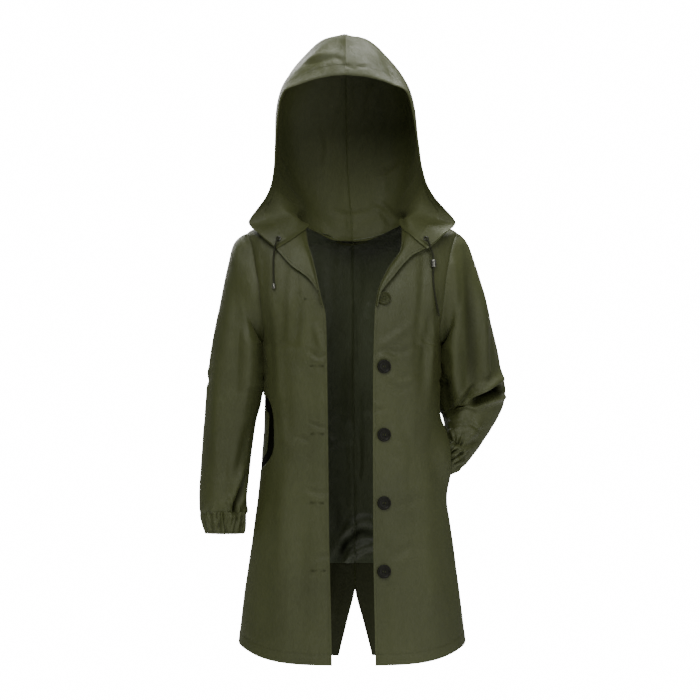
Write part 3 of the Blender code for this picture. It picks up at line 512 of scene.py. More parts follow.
TOP_FOLDS = (
    (5.0, 30, (-44, -80, -46, 0, -44, 90)),
    (5.0, 30, (22, -80, 24, 0, 22, 90)),
)
VIEWS = (  # folds, the way they face, and whether they lie on a face turned away
    (FRONT_FOLDS + HOOD_FOLDS, (0, -1, 0), False),
    (INSIDE_FOLDS, (0, 1, 0), True),
    (BACK_FOLDS, (0, 1, 0), False),
    (SIDE_FOLDS, (-1, 0, 0), False),
    (SIDE_FOLDS, (1, 0, 0), False),
    (TOP_FOLDS, (0, 0, 1), False),
)
PLANES = {  # the two axes seen from each way
    (0, 1, 0): (0, 2),
    (-1, 0, 0): (1, 2),
    (1, 0, 0): (1, 2),
    (0, 0, 1): (0, 1),
}
EYE = Vector((-0.0039, -4.0, -0.2145))  # the photograph's viewpoint
LINE_STEPS = 8  # straight steps between two of a fold's points
TURNED_TO = (0.05, 0.55)  # folds fade in where cloth turns this much towards the view they are seen from
SKIRT, SKIRT_PLACE = 0.25, 1.7  # the hollow beside a fold: share of its height, place in half widths
RIPPLE_ROUND, RIPPLE_LEVEL = 0.17, 0.62  # they run round a body of this radius, and lie upright
RIPPLES = ((3, 0.075, 0.0011), (5, 0.034, 0.00055), (8, 0.017, 0.00022))  # seed, size and height


def fold_height(places, folds):
    """The height in metres that folds give at places, both in one picture plane."""
    total = np.zeros(len(places))
    for height, half_width, numbers in folds:
        line = np.array(numbers, float).reshape(-1, 2) / 1000
        t = np.linspace(0, len(line) - 1, LINE_STEPS * (len(line) - 1) + 1)
        if len(line) > 2:
            line = through(np.arange(len(line)), line, t)
        else:
            line = line[0] + (line[1] - line[0]) * t[:, None]
        reach = 3 * half_width / 1000
        near = ((places > line.min(axis=0) - reach) & (places < line.max(axis=0) + reach)).all(axis=1)
        if not near.any():
            continue
        start, step = line[:-1], np.diff(line, axis=0)
        away = places[near][:, None] - start[None]
        along = np.clip((away * step).sum(axis=2) / np.maximum((step**2).sum(axis=1), 1e-12), 0, 1)
        distance = np.linalg.norm(away - along[..., None] * step, axis=2)
        best = distance.argmin(axis=1)
        rows = np.arange(len(best))
        part = (best + along[rows, best]) / (len(line) - 1)
        taper = np.sin(np.pi * np.clip(part * 0.86 + 0.07, 0, 1)) ** 0.6
        lie = distance[rows, best] / (half_width / 1000)
        skirt = SKIRT * np.exp(-((lie - SKIRT_PLACE) ** 2))
        total[near] += height / 1000 * taper * (np.exp(-(lie**2)) - skirt)
    return total


def seen(points):
    scale = -EYE.y / (points[:, 1] - EYE.y)
    return np.stack([EYE.x + (points[:, 0] - EYE.x) * scale, EYE.z + (points[:, 2] - EYE.z) * scale], 1)


def body_folds(points, normals, sleeve=False):
    """The height along its outward normal that every fold gives each point of the jacket."""
    total = np.zeros(len(points))
    views = VIEWS
    if sleeve:
        views = ((SLEEVE_FOLDS, (0, -1, 0), False),) + VIEWS[2:]
    for folds, facing, inside in views:
        weight = soft_step(normals @ np.array(facing, float), *TURNED_TO)
        if not weight.any():
            continue
        from_front = facing == (0, -1, 0) or inside
        places = seen(points) if from_front else points[:, PLANES[facing]]
        total += fold_height(places, folds) * weight * (-1 if inside else 1)
    return total


def ripple(points, seed, size, height):
    """Soft unevenness of hanging cloth: the same at the same place, so that layers keep together."""
    around = np.arctan2(points[:, 0], -points[:, 1] - 0.02) * RIPPLE_ROUND
    flat = np.stack([around, points[:, 2] * RIPPLE_LEVEL], axis=1)
    return height * value_noise(flat / size + 31.7, seed)


PRESSED = {  # how far each sleeve's inner side goes towards the body, at heights up from the back neck
    -1: (
        (-0.60, 0), (-0.36, 0.001), (-0.34, 0.002), (-0.31, 0.0045), (-0.297, 0.0065),
        (-0.285, 0.0112), (-0.20, 0.0112), (-0.16, 0),
    ),
    1: ((-0.60, 0), (-0.40, 0), (-0.37, 0.005), (-0.34, 0.009), (-0.32, 0.013), (-0.21, 0.012), (-0.17, 0)),
}
FOREARM = (  # the bent right sleeve's outer side: heights, and how far it goes out
    (-0.45, 0), (-0.42, -0.006), (-0.395, -0.010), (-0.37, -0.010), (-0.345, -0.006), (-0.32, 0),
    (-0.29, 0.004), (-0.25, 0),
)
FOREARM_WAY = np.array([0.8, 0, -0.6])  # the way that side faces


def pressed(points, normals):
    """The push that lays a sleeve's inner side against the body, and draws in the bent forearm."""
    total, level = np.zeros(len(points)), seen(points)[:, 1]
    for side, table in PRESSED.items():
        levels, pushes = np.array(table).T
        inner = soft_step(-normals[:, 0] * side, *TURNED_TO) * (points[:, 0] * side > 0)
        total += inner * np.interp(level, levels, pushes)
    levels, pushes = np.array(FOREARM).T
    outer = soft_step(normals @ FOREARM_WAY, 0.05, 0.6) * (points[:, 0] > 0)
    total += outer * np.interp(level, levels, pushes)
    return total


def drape(points, normals, sleeve=False):
    """All of the height that the folds and the cloth's unevenness give, along the normals."""
    total = body_folds(points, normals, sleeve)
    for seed, size, height in RIPPLES:
        total += ripple(points, seed, size, height)
    return total


# ------------------------------------------------------------------ sewing
GROOVE_DEPTH, GROOVE_HALF = 0.00045, 0.0016  # the bed that a topstitch line pulls into the cloth
TURNED_HEIGHT = 0.00035  # how much a turned edge stands up beside its stitching
PUCKER_PITCH, PUCKER_REACH = 0.011, 0.010


def seam_bed(cloth, edge, inset, pucker, seed):
    """The groove of a topstitch line with its puckers, and the thicker turned edge beside it."""
    away = cloth.from_edge(edge)
    run = cloth.u if edge in ("low", "high") else cloth.v
    lie = (away - inset) / GROOVE_HALF
    groove = -GROOVE_DEPTH * np.exp(-(lie**2))
    turned = TURNED_HEIGHT * soft_step(away, inset + 0.001, inset - 0.003)
    flat = np.stack([run.ravel() / PUCKER_PITCH, np.full(run.size, seed * 3.7)], axis=1)
    wave = value_noise(flat, seed).reshape(run.shape)
    fine = value_noise(flat * 2.3 + 5.1, seed + 1).reshape(run.shape)
    near = np.exp(-(((away - inset * 0.6) / PUCKER_REACH) ** 2))
    return groove + turned + pucker * (wave + 0.5 * fine) * near


def seam_edge(cloth, edge, roll=0.0010, reach=0.0036):
    """Cloth that turns in at a sewn seam."""
    away = cloth.from_edge(edge)
    return -roll * np.exp(-((away / reach) ** 2))


def gathers(cloth, edge, reach, height, spacing, seed):
    """Ridges of uneven width and length that run out of a gathered edge."""
    away = cloth.from_edge(edge)
    turn = cloth.u / np.maximum(cloth.u[:, -1:], 1e-6)
    count = round(cloth.u[0 if edge == "low" else -1].max() / spacing)
    phase = turn * count
    flat = np.stack([phase.ravel() * 0.5, away.ravel() / 0.05], axis=1)
    shift = value_noise(flat, seed).reshape(turn.shape) * 1.5
    deep = 0.65 + 0.35 * value_noise(flat * 1.7 + 9.0, seed + 4).reshape(turn.shape)
    close = 1 - abs(2 * (turn % 1) - 1) if cloth.ring else 1.0
    blend = np.clip(np.asarray(close) * 12, 0, 1)
    wave = np.cos(2 * math.pi * (phase + shift * blend))
    long = 0.6 + 0.4 * value_noise(np.stack([phase.ravel() * 0.9, phase.ravel() * 0], 1), seed + 7)
    fade = np.exp(-((away / (reach * long.reshape(turn.shape))) ** 2))
    return height * deep * wave * fade


def new_mesh(name, points, quads, uvs, parts, materials):
    """A mesh from arrays: uvs has a row for each corner of each quad, parts a material each quad."""
    mesh = bpy.data.meshes.new(name)
    mesh.vertices.add(len(points))
    mesh.vertices.foreach_set("co", np.asarray(points, np.float32).ravel())
    quads = np.asarray(quads, np.int32)
    mesh.loops.add(quads.size)
    mesh.loops.foreach_set("vertex_index", quads.ravel())
    mesh.polygons.add(len(quads))
    mesh.polygons.foreach_set("loop_start", np.arange(len(quads), dtype=np.int32) * 4)
    mesh.polygons.foreach_set("material_index", np.asarray(parts, np.int32))
    mesh.uv_layers.new(name="UVMap").data.foreach_set("uv", np.asarray(uvs, np.float32).ravel())
    mesh.update(calc_edges=True)
    mesh.validate()
    mesh.shade_smooth()
    for material in materials:
        mesh.materials.append(material)
    item = bpy.data.objects.new(name, mesh)
    bpy.context.collection.objects.link(item)
    return item


def grid_quads(number, place):
    """The quads of a grid of point numbers, and the UVs of their corners from a grid of places."""
    quads = np.stack([number[:-1, :-1], number[:-1, 1:], number[1:, 1:], number[1:, :-1]], axis=-1)
    uvs = np.stack([place[:-1, :-1], place[:-1, 1:], place[1:, 1:], place[1:, :-1]], axis=-2)
    return quads.reshape(-1, 4), uvs.reshape(-1, 4, 2)


def ring_quads(rows, segments, along):
    """The quads and UVs of rings of points, from the length along them that each ring has."""
    number = np.arange(rows * segments).reshape(rows, segments)
    turn = np.linspace(0, 1, segments + 1)
    place = np.stack(np.broadcast_arrays(turn[None], along[:, None]), axis=-1)
    return grid_quads(np.concatenate([number, number[:, :1]], axis=1), place)


def wall_object(name, cloth, thick, materials, shade):
    """A closed cloth wall: the fine grid, the same grid a thickness inside it, and turned rims.

    Shade is how deep in a fold each point lies, from 0 to 1, where the materials paint shade: a darker colour
    and fewer reflections.
    """
    cloth.measure()
    rows, cols = cloth.u.shape
    inner = cloth.grid - cloth.normals * thick
    points = np.concatenate([cloth.grid.reshape(-1, 3), inner.reshape(-1, 3)])
    number = np.arange(rows * cols).reshape(rows, cols)
    u, v = cloth.u * UV_SCALE, cloth.v * UV_SCALE
    if cloth.ring:
        gap = np.linalg.norm(cloth.grid[:, :1] - cloth.grid[:, -1:], axis=2) * UV_SCALE
        number = np.concatenate([number, number[:, :1]], axis=1)
        u, v = np.concatenate([u, u[:, -1:] + gap], axis=1), np.concatenate([v, v[:, :1]], axis=1)
    place = np.stack([u, v], axis=2)
    quads, uvs = [], []
    for layer, keep in ((number, cloth.sign > 0), (number + rows * cols, cloth.sign < 0)):
        quad, coord = grid_quads(layer, place)
        quads.append(quad if keep else quad[:, ::-1])
        uvs.append(coord if keep else coord[:, ::-1])
    parts = [0] * len(quads[0]) + [1] * len(quads[1])
    rims = [(number[0], place[0], True), (number[-1], place[-1], False)]
    if not cloth.ring:
        rims += [(number[:, 0], place[:, 0], False), (number[:, -1], place[:, -1], True)]
    for line, spot, forward in rims:
        below = line + rows * cols
        quad = np.stack([line[:-1], below[:-1], below[1:], line[1:]], axis=1)
        shift = np.array([0.0, thick * UV_SCALE])
        coord = np.stack([spot[:-1], spot[:-1] + shift, spot[1:] + shift, spot[1:]], axis=1)
        if forward != (cloth.sign > 0):
            quad, coord = quad[:, ::-1], coord[:, ::-1]
        quads.append(quad)
        uvs.append(coord)
        parts += [0] * len(quad)
    item = new_mesh(name, points, np.concatenate(quads), np.concatenate(uvs), parts, materials)
    depth = item.data.attributes.new("fold_depth", "FLOAT", "POINT")
    depth.data.foreach_set("value", np.tile(np.asarray(shade, np.float32).ravel(), 2))
    item.data.set_sharp_from_angle(angle=math.radians(55))
    return item


BAR_PLACES = np.array([0, 0.18, 0.82, 1])  # along a stitch: its four cross-sections
BAR_WIDTHS = np.array([0.55, 1, 1, 0.55])[None, :, None]
BAR_HEIGHTS = np.array([-0.25, 0.5, 0.5, -0.25])[None, :, None]


def thread_run(points, facing, stitch=0.0030, gap=0.0011, thick=0.00042):
    """Corners and quads of the stitches along a line, each a small rounded bar sunk in the cloth."""
    along = line_lengths(points)
    count = int(along[-1] / (stitch + gap))
    pitch = along[-1] / count
    start = np.arange(count) * pitch + gap / 2
    t = (BAR_PLACES * (pitch - gap))[None] + start[:, None]
    place = np.stack([np.interp(t, along, points[:, k]) for k in range(3)], axis=2)
    up = unit(np.stack([np.interp(t, along, facing[:, k]) for k in range(3)], axis=2))
    way = unit(np.gradient(place, axis=1))
    side = unit(np.cross(up, way))
    swell, high = BAR_WIDTHS * thick, BAR_HEIGHTS * thick
    left, right = place + side * swell / 2, place - side * swell / 2
    low = up * (high - thick * 0.35)
    rings = np.stack([left + low, place + up * (high + thick * 0.35), right + low], axis=2)
    base = np.arange(count)[:, None] * 12  # four cross-sections of three corners
    quads = []
    for k in range(3):
        for a, b in ((0, 1), (1, 2), (2, 0)):
            quads.append(base + np.array([[k * 3 + a, k * 3 + 3 + a, k * 3 + 3 + b, k * 3 + b]]))
    return rings.reshape(-1, 3), np.concatenate(quads)


def thread_object(name, runs):
    """One object that holds several runs of stitches, each its corners and its quads."""
    starts = np.cumsum([0] + [len(corners) for corners, _ in runs])
    points = np.concatenate([corners for corners, _ in runs])
    quads = np.concatenate([faces + start for (_, faces), start in zip(runs, starts)])
    uvs = np.tile(np.array([[0, 0], [1, 0], [1, 1], [0, 1]], float), (len(quads), 1, 1))
    item = new_mesh(name, points, quads, uvs, [0] * len(quads), [finish_of("thread")])
    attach(item, "root")
    return item


def flat_size(cloth):
    """What a wall measures as laid flat: its width, its length and its area."""
    join = np.linalg.norm(cloth.grid[0, 0] - cloth.grid[0, -1]) if cloth.ring else 0
    across, up = np.diff(cloth.grid, axis=1)[:-1], np.diff(cloth.grid, axis=0)[:, :-1]
    area = float(np.linalg.norm(np.cross(up, across), axis=2).sum())
    if cloth.ring:
        area *= cloth.u.shape[1] / (cloth.u.shape[1] - 1)
    return float(cloth.u[:, -1].max() + join), float(cloth.v[-1].max()), area


# ------------------------------------------------------------------ materials
def add(tree, kind, values=(), **settings):
    """A node of one kind with its settings, and values or links for its input sockets."""
    item = tree.nodes.new(kind)
    for key, value in settings.items():
        setattr(item, key, value)
    for socket, value in dict(values).items():
        if isinstance(value, bpy.types.NodeSocket):
            tree.links.new(value, item.inputs[socket])
        else:
            item.inputs[socket].default_value = value
    return item


def group(name, inputs, outputs, build):
    """A shader node group that is made once. build gets its tree and sockets, and gives its outputs."""
    if name in bpy.data.node_groups:
        return bpy.data.node_groups[name]
    tree = bpy.data.node_groups.new(name, "ShaderNodeTree")
    for label, kind, default in inputs:
        socket = tree.interface.new_socket(name=label, in_out="INPUT", socket_type=kind)
        socket.default_value = default
    for label, kind in outputs:
        tree.interface.new_socket(name=label, in_out="OUTPUT", socket_type=kind)
    given = tree.nodes.new("NodeGroupInput").outputs
    made = build(tree, given)
    end = tree.nodes.new("NodeGroupOutput")
    for (label, _), socket in zip(outputs, made):
        tree.links.new(socket, end.inputs[label])
    return tree


def math_node(tree, operation, *values):
    return add(tree, "ShaderNodeMath", dict(enumerate(values)), operation=operation).outputs[0]


def ramp(tree, value, low, high, to_low=0.0, to_high=1.0, smooth=True):
    return add(
        tree,
        "ShaderNodeMapRange",
        {"Value": value, "From Min": low, "From Max": high, "To Min": to_low, "To Max": to_high},
        interpolation_type="SMOOTHSTEP" if smooth else "LINEAR",
    ).outputs["Result"]


def noise(tree, vector, scale, detail=3.0, rough=0.5, distort=0.0):
    values = {"Vector": vector, "Scale": scale, "Detail": detail, "Roughness": rough, "Distortion": distort}
    return add(tree, "ShaderNodeTexNoise", values).outputs["Fac"]


def body_place(tree):
    return add(tree, "ShaderNodeTexCoord").outputs["Object"]


def cloth_place(tree):
    return add(tree, "ShaderNodeUVMap").outputs[0]


def stretched(tree, place, scale):
    return add(tree, "ShaderNodeMapping", {"Vector": place, "Scale": scale}).outputs[0]


def weighed(tree, one, share, other, other_share, operation="ADD"):
    """The sum or difference of two values, each times its share."""
    parts = math_node(tree, "MULTIPLY", one, share), math_node(tree, "MULTIPLY", other, other_share)
    return math_node(tree, operation, *parts)


def mixed_colour(tree, factor, one, other, blend="MIX"):
    values = {"Factor": factor, 6: one, 7: other}
    return add(tree, "ShaderNodeMix", values, data_type="RGBA", blend_type=blend).outputs[2]


def painted_fold_shade(tree, at_top, at_bottom):
    """Painted shade: a value that goes from at_top on open cloth to at_bottom deep in a fold."""
    depth = add(tree, "ShaderNodeAttribute", attribute_name="fold_depth").outputs["Fac"]
    return ramp(tree, depth, 0.0, 1.0, at_top, at_bottom, smooth=False)


def bump_of(tree, strength, distance, height, **under):
    """A normal from a height, over another normal where one is given as Normal."""
    values = {"Strength": strength, "Distance": distance, "Height": height, **under}
    return add(tree, "ShaderNodeBump", values).outputs[0]


def weave_group():
    """Twill threads from the cloth's own lengths: a height and a mask of the gaps between threads."""

    def build(tree, given):
        place = cloth_place(tree)
        loose = add(tree, "ShaderNodeTexNoise", {"Vector": place, "Scale": 14.0, "Detail": 2.0})
        middle = {0: loose.outputs["Color"], 1: (0.5, 0.5, 0.5)}
        drift = add(tree, "ShaderNodeVectorMath", middle, operation="SUBTRACT").outputs[0]
        little = {0: drift, 1: (0.012, 0.012, 0.0), 2: place}
        bent = add(tree, "ShaderNodeVectorMath", little, operation="MULTIPLY_ADD").outputs[0]
        split = add(tree, "ShaderNodeSeparateXYZ", {"Vector": bent}).outputs
        warp = math_node(tree, "SINE", math_node(tree, "MULTIPLY", split["X"], given["Threads"]))
        diagonal = math_node(tree, "ADD", split["X"], math_node(tree, "MULTIPLY", split["Y"], 2.0))
        twill = math_node(tree, "SINE", math_node(tree, "MULTIPLY", diagonal, given["Threads"]))
        height = weighed(tree, warp, 0.45, twill, 0.55)
        slub = noise(tree, stretched(tree, place, (9.0, 300.0, 1.0)), 1.0)
        height = math_node(tree, "ADD", height, math_node(tree, "MULTIPLY", slub, given["Slub"]))
        return height, ramp(tree, height, 0.1, -0.9)

    return group(
        "Twill Weave",
        (("Threads", "NodeSocketFloat", 1400.0), ("Slub", "NodeSocketFloat", 0.6)),
        (("Height", "NodeSocketFloat"), ("Gaps", "NodeSocketFloat")),
        build,
    )


def crumple_group():
    """The small soft dents and drag lines of worn cloth: a height, and the uneven tone of the dents."""

    def build(tree, given):
        long = stretched(tree, body_place(tree), (1.0, 1.0, 0.42))
        broad = noise(tree, long, given["Broad"], 2.0, 0.45, 0.6)
        fine = noise(tree, long, given["Fine"], 3.0, 0.5, 0.9)
        ridge = math_node(tree, "ABSOLUTE", math_node(tree, "SUBTRACT", fine, 0.5))
        return weighed(tree, broad, 1.3, ridge, 0.55, "SUBTRACT"), broad

    return group(
        "Soft Crumple",
        (("Broad", "NodeSocketFloat", 13.0), ("Fine", "NodeSocketFloat", 38.0)),
        (("Height", "NodeSocketFloat"), ("Tone", "NodeSocketFloat")),
        build,
    )


def dye_and_painted_shade_group():
    """Dyed cloth's colour: uneven tone and paler worn edges, with painted shade in the weave's gaps, in
    creases and deep in folds.
    """

    def build(tree, given):
        place = body_place(tree)
        broad = noise(tree, place, 5.5, 3.0, 0.5)
        mottle = noise(tree, place, 60.0, 4.0, 0.6)
        tone = weighed(tree, broad, 0.75, mottle, 0.25)
        dyed = mixed_colour(tree, ramp(tree, tone, 0.3, 0.7), given["Deep"], given["Pale"])
        bend = add(tree, "ShaderNodeNewGeometry").outputs["Pointiness"]
        # painted shade: creases, where the surface bends inward, darken the colour
        crease_shade = math_node(tree, "MULTIPLY", ramp(tree, bend, 0.48, 0.38), 0.85)
        # painted shade in the weave's gaps
        shade = math_node(tree, "SUBTRACT", 1.0, math_node(tree, "MULTIPLY", given["Gaps"], 0.28))
        shade = math_node(tree, "MULTIPLY", shade, math_node(tree, "SUBTRACT", 1.0, crease_shade))
        # painted shade deep in folds, read from the fold_depth attribute
        shade = math_node(tree, "MULTIPLY", shade, painted_fold_shade(tree, 1.0, 0.10))
        darker = mixed_colour(tree, 1.0, dyed, shade, "MULTIPLY")
        worn = math_node(tree, "MULTIPLY", ramp(tree, bend, 0.53, 0.60), given["Wear"])
        return (mixed_colour(tree, worn, darker, given["Worn"]),)

    return group(
        "Dyed Cloth With Painted Shade",
        (
            ("Deep", "NodeSocketColor", (0.04, 0.045, 0.02, 1)),
            ("Pale", "NodeSocketColor", (0.06, 0.065, 0.03, 1)),
            ("Worn", "NodeSocketColor", (0.10, 0.11, 0.06, 1)),
            ("Gaps", "NodeSocketFloat", 0.0),
            ("Wear", "NodeSocketFloat", 0.3),
        ),
        (("Color", "NodeSocketColor"),),
        build,
    )


def start_material(name, **fixed):
    """A new material with its Principled shader's plain values set."""
    made = bpy.data.materials.new(name)
    made.use_nodes = True
    shader = made.node_tree.nodes["Principled BSDF"]
    for key, value in fixed.items():
        shader.inputs[key.replace("_", " ")].default_value = value
    return made.node_tree, shader


def feed(tree, shader, **sockets):
    """Links outputs to a shader's inputs, by the inputs' names."""
    for key, output in sockets.items():
        tree.links.new(output, shader.inputs[key.replace("_", " ")])


def varied(colour, share):
    return (*(min(1.0, c * share) for c in colour[:3]), 1.0)


def cloth_material(name, colour, threads, rough, weave_depth, crumple_depth, wear, spread=0.13, **fixed):
    tree, shader = start_material(name, **fixed)
    weave = add(tree, "ShaderNodeGroup", {"Threads": threads}, node_tree=weave_group()).outputs
    crumple = add(tree, "ShaderNodeGroup", node_tree=crumple_group()).outputs
    tints = {
        "Deep": varied(colour, 1 - spread),
        "Pale": varied(colour, 1 + spread),
        "Worn": varied(colour, 1.9),
        "Wear": wear,
        "Gaps": weave["Gaps"],
    }
    dye_and_shade = add(tree, "ShaderNodeGroup", tints, node_tree=dye_and_painted_shade_group()).outputs
    uneven = ramp(tree, crumple["Tone"], 0.3, 0.7, rough - 0.05, rough + 0.07, smooth=False)
    soft = bump_of(tree, 1.0, crumple_depth, crumple["Height"])
    feed(
        tree,
        shader,
        Base_Color=dye_and_shade["Color"],
        Roughness=math_node(tree, "MULTIPLY_ADD", weave["Gaps"], 0.08, uneven),
        # painted shade: deep in folds the cloth's reflections fade out
        Specular_IOR_Level=painted_fold_shade(tree, shader.inputs["Specular IOR Level"].default_value, 0.0),
        Normal=bump_of(tree, 0.6, weave_depth, weave["Height"], Normal=soft),
    )


def thread_material(name, colour):
    """Twisted thread, with painted light: paler where a strand turns up and darker between the strands, over
    a random tone.
    """
    tree, shader = start_material(name, Roughness=0.6, Specular_IOR_Level=0.3)
    twist = {"Vector": cloth_place(tree), "Scale": 2.2, "Distortion": 0.4}
    strands = add(tree, "ShaderNodeTexWave", twist, bands_direction="DIAGONAL").outputs["Fac"]
    tone = math_node(tree, "MULTIPLY", noise(tree, body_place(tree), 220.0), 0.5)
    mixed = math_node(tree, "MULTIPLY_ADD", strands, 0.5, tone)
    feed(
        tree,
        shader,
        Base_Color=mixed_colour(tree, mixed, varied(colour, 0.75), varied(colour, 1.3)),
        Normal=bump_of(tree, 0.6, 0.0001, strands),
    )


def button_material(name, colour, rough=0.46):
    """Moulded plastic with a faint horn-like grain and fine scratches."""
    tree, shader = start_material(name, Coat_Weight=0.02, Coat_Roughness=0.3, Specular_IOR_Level=0.14)
    place = body_place(tree)
    grain = noise(tree, stretched(tree, place, (1.0, 1.0, 3.0)), 120.0, 4.0, 0.6, 2.5)
    marks = noise(tree, place, 900.0, 3.0, 0.6)
    streaks = ramp(tree, grain, 0.35, 0.68)
    feed(
        tree,
        shader,
        Base_Color=mixed_colour(tree, streaks, varied(colour, 0.7), varied(colour, 1.7)),
        Roughness=ramp(tree, marks, 0.3, 0.7, rough - 0.07, rough + 0.1),
        Normal=bump_of(tree, 0.3, 0.00008, marks),
    )


def metal_material(name, colour):
    """Plated metal, brushed along its length and dulled in spots."""
    tree, shader = start_material(name, Metallic=1.0)
    place = body_place(tree)
    brushed = noise(tree, stretched(tree, place, (1.0, 1.0, 0.15)), 1500.0, 2.0)
    spots = noise(tree, place, 240.0, 3.0, 0.6)
    dulled = ramp(tree, spots, 0.4, 0.72)
    feed(
        tree,
        shader,
        Base_Color=mixed_colour(tree, dulled, varied(colour, 1.0), varied(colour, 0.62)),
        Roughness=ramp(tree, spots, 0.3, 0.7, 0.22, 0.42),
        Normal=bump_of(tree, 0.25, 0.00004, brushed),
    )


def cord_material(name, colour):
    """Braided cord: the strands cross from the tube's own lengths, with painted light: darker between the
    strands and paler on them.
    """
    tree, shader = start_material(name, Specular_IOR_Level=0.25)
    split = add(tree, "ShaderNodeSeparateXYZ", {"Vector": cloth_place(tree)}).outputs
    turn = math_node(tree, "MULTIPLY", split["X"], math.tau * 6)
    along = math_node(tree, "MULTIPLY", split["Y"], 380.0)
    one = math_node(tree, "SINE", math_node(tree, "ADD", turn, along))
    other = math_node(tree, "SINE", math_node(tree, "SUBTRACT", turn, along))
    braid = math_node(tree, "MAXIMUM", one, other)
    tone = noise(tree, body_place(tree), 320.0, 3.0)
    fuzz = math_node(tree, "MULTIPLY", tone, 0.35)
    mixed = math_node(tree, "MULTIPLY_ADD", ramp(tree, braid, -0.2, 1.0), 0.7, fuzz)
    feed(
        tree,
        shader,
        Base_Color=mixed_colour(tree, mixed, varied(colour, 0.45), varied(colour, 1.25)),
        Roughness=ramp(tree, tone, 0.3, 0.7, 0.5, 0.72),
        Normal=bump_of(tree, 0.7, 0.0003, braid),
    )


SHELL_THREADS, LINING_THREADS = 1500.0, 2100.0  # radians of the weave's wave for each UV unit


def shell_finish(name, look):
    """The outer cloth: a satin twill."""
    cloth_material(
        name, look.shell, SHELL_THREADS, look.satin, 0.00010, 0.0030, 0.15,
        Sheen_Weight=0.04, Sheen_Roughness=0.35, Sheen_Tint=(0.75, 0.80, 0.40, 1), Specular_IOR_Level=0.36,
    )


def inside_finish(name, look):
    """The outer cloth's duller wrong side."""
    cloth_material(
        name, varied(look.shell, 1.02), SHELL_THREADS, look.satin + 0.12, 0.00008, 0.0030, 0.10,
        Sheen_Weight=0.03, Sheen_Tint=(0.75, 0.80, 0.45, 1), Specular_IOR_Level=0.3,
    )


def painted_shade_inside_finish(name, look):
    """The back's wrong side, which only shows below the lining: the shell at half its colour, as painted
    shade.
    """
    cloth_material(
        name, varied(look.shell, 0.5), SHELL_THREADS, look.satin + 0.15, 0.00008, 0.0030, 0.1,
        Specular_IOR_Level=0.2,
    )


def painted_shadow_pocket_finish(name, look):
    """The pocket bags, which lie in the dark, coloured almost black as painted shadow."""
    cloth_material(
        name, varied(look.shell, 0.07), SHELL_THREADS, 0.8, 0.00008, 0.0020, 0.0, Specular_IOR_Level=0.02
    )


def lining_finish(name, look):
    """The smoother lining."""
    cloth_material(
        name, look.lining, LINING_THREADS, look.satin - 0.06, 0.00006, 0.0042, 0.2, 0.10,
        Sheen_Weight=0.08, Sheen_Roughness=0.3, Sheen_Tint=(0.8, 0.85, 0.65, 1), Specular_IOR_Level=0.4,
    )


FINISHES = {
    "shell": shell_finish,
    "inside": inside_finish,
    # under: the back's wrong side, darkened as painted shade
    "under": painted_shade_inside_finish,
    "pocket": painted_shadow_pocket_finish,
    "lining": lining_finish,
    "thread": lambda name, look: thread_material(name, varied(look.shell, 1.0)),
    "button": lambda name, look: button_material(name, look.button),
    "top_button": lambda name, look: button_material(name, varied(look.shell, 0.55)),
    "cord": lambda name, look: cord_material(name, look.cord),
    "eyelet": lambda name, look: metal_material(name, varied(look.metal, 0.22)),
    "metal": lambda name, look: metal_material(name, look.metal),
}


def finish_of(kind):
    """The jacket's material of one kind, made the first time it is asked for."""
    name = f"{kind}_finish"
    if name not in bpy.data.materials:
        FINISHES[kind](name, bpy.context.scene.jacket_finish)
    return bpy.data.materials[name]


# ------------------------------------------------------------------ cloth pieces
MOUTH_FRONT, MOUTH_BACK = "front_left", "back_left"
MOUTH = (  # height and place across, in the photograph's plane, of the open pocket's front edge
    (-0.446, -0.180), (-0.436, -0.1715), (-0.425, -0.162), (-0.414, -0.1560), (-0.402, -0.1530),
    (-0.372, -0.1525), (-0.341, -0.1550), (-0.318, -0.1600), (-0.306, -0.166), (-0.296, -0.180),
)
MOUTH_SEARCH, MOUTH_TAKE_UP = 0.12, 0.06  # cloth beside the mouth that may be drawn in, and that takes it up
FACING_LEVELS = (-0.452, -0.405, -0.325, -0.296)  # it is full between the middle two heights
FACING_FORWARD, FACING_INWARD = 0.036, 0.0088  # how far the mouth's facing reaches from the back's edge


def draw_back(cloth):
    """The pocket's mouth: the front's side edge drawn towards the middle, its cloth taken up beside it."""
    levels, places = np.array(MOUTH).T
    for row, line in enumerate(cloth.grid):
        spot, u = seen(line), cloth.u[row]
        if not levels[0] < spot[-1, 1] < levels[-1]:
            continue
        target = np.interp(spot[-1, 1], levels, places)
        beyond = np.where((u > u[-1] - MOUTH_SEARCH) & (spot[:, 0] < target))[0]
        if not len(beyond):
            continue
        k = beyond[0]
        part = (spot[k - 1, 0] - target) / (spot[k - 1, 0] - spot[k, 0])
        end = u[k - 1] + part * (u[k] - u[k - 1])
        start = end - MOUTH_TAKE_UP
        where = np.where(u > start, start + (u - start) * (end - start) / (u[-1] - start), u)
        cloth.grid[row] = np.stack([np.interp(where, u, line[:, axis]) for axis in range(3)], axis=1)
    cloth.measure()


def mouth_facing(cloth):
    """The back's side edge carried on as the facing of the pocket's mouth."""
    edge = cloth.grid[:, -1]
    low, full_from, full_to, high = FACING_LEVELS
    share = soft_step(edge[:, 2], low, full_from) * soft_step(edge[:, 2], high, full_to)
    strips = [
        edge + share[:, None] * t * np.array([FACING_INWARD * t, -FACING_FORWARD, 0.0])
        for t in (0.2, 0.4, 0.6, 0.8, 1.0)
    ]
    cloth.grid = np.concatenate([cloth.grid, np.stack(strips, axis=1)], axis=1)


def widened(values, edge):
    """Values on a grid, with those of the two rows or columns that a seam allowance adds."""
    added = (2, 0) if edge in ("low", "first") else (0, 2)
    return np.pad(values, (added, (0, 0)) if edge in ("low", "high") else ((0, 0), added), mode="edge")


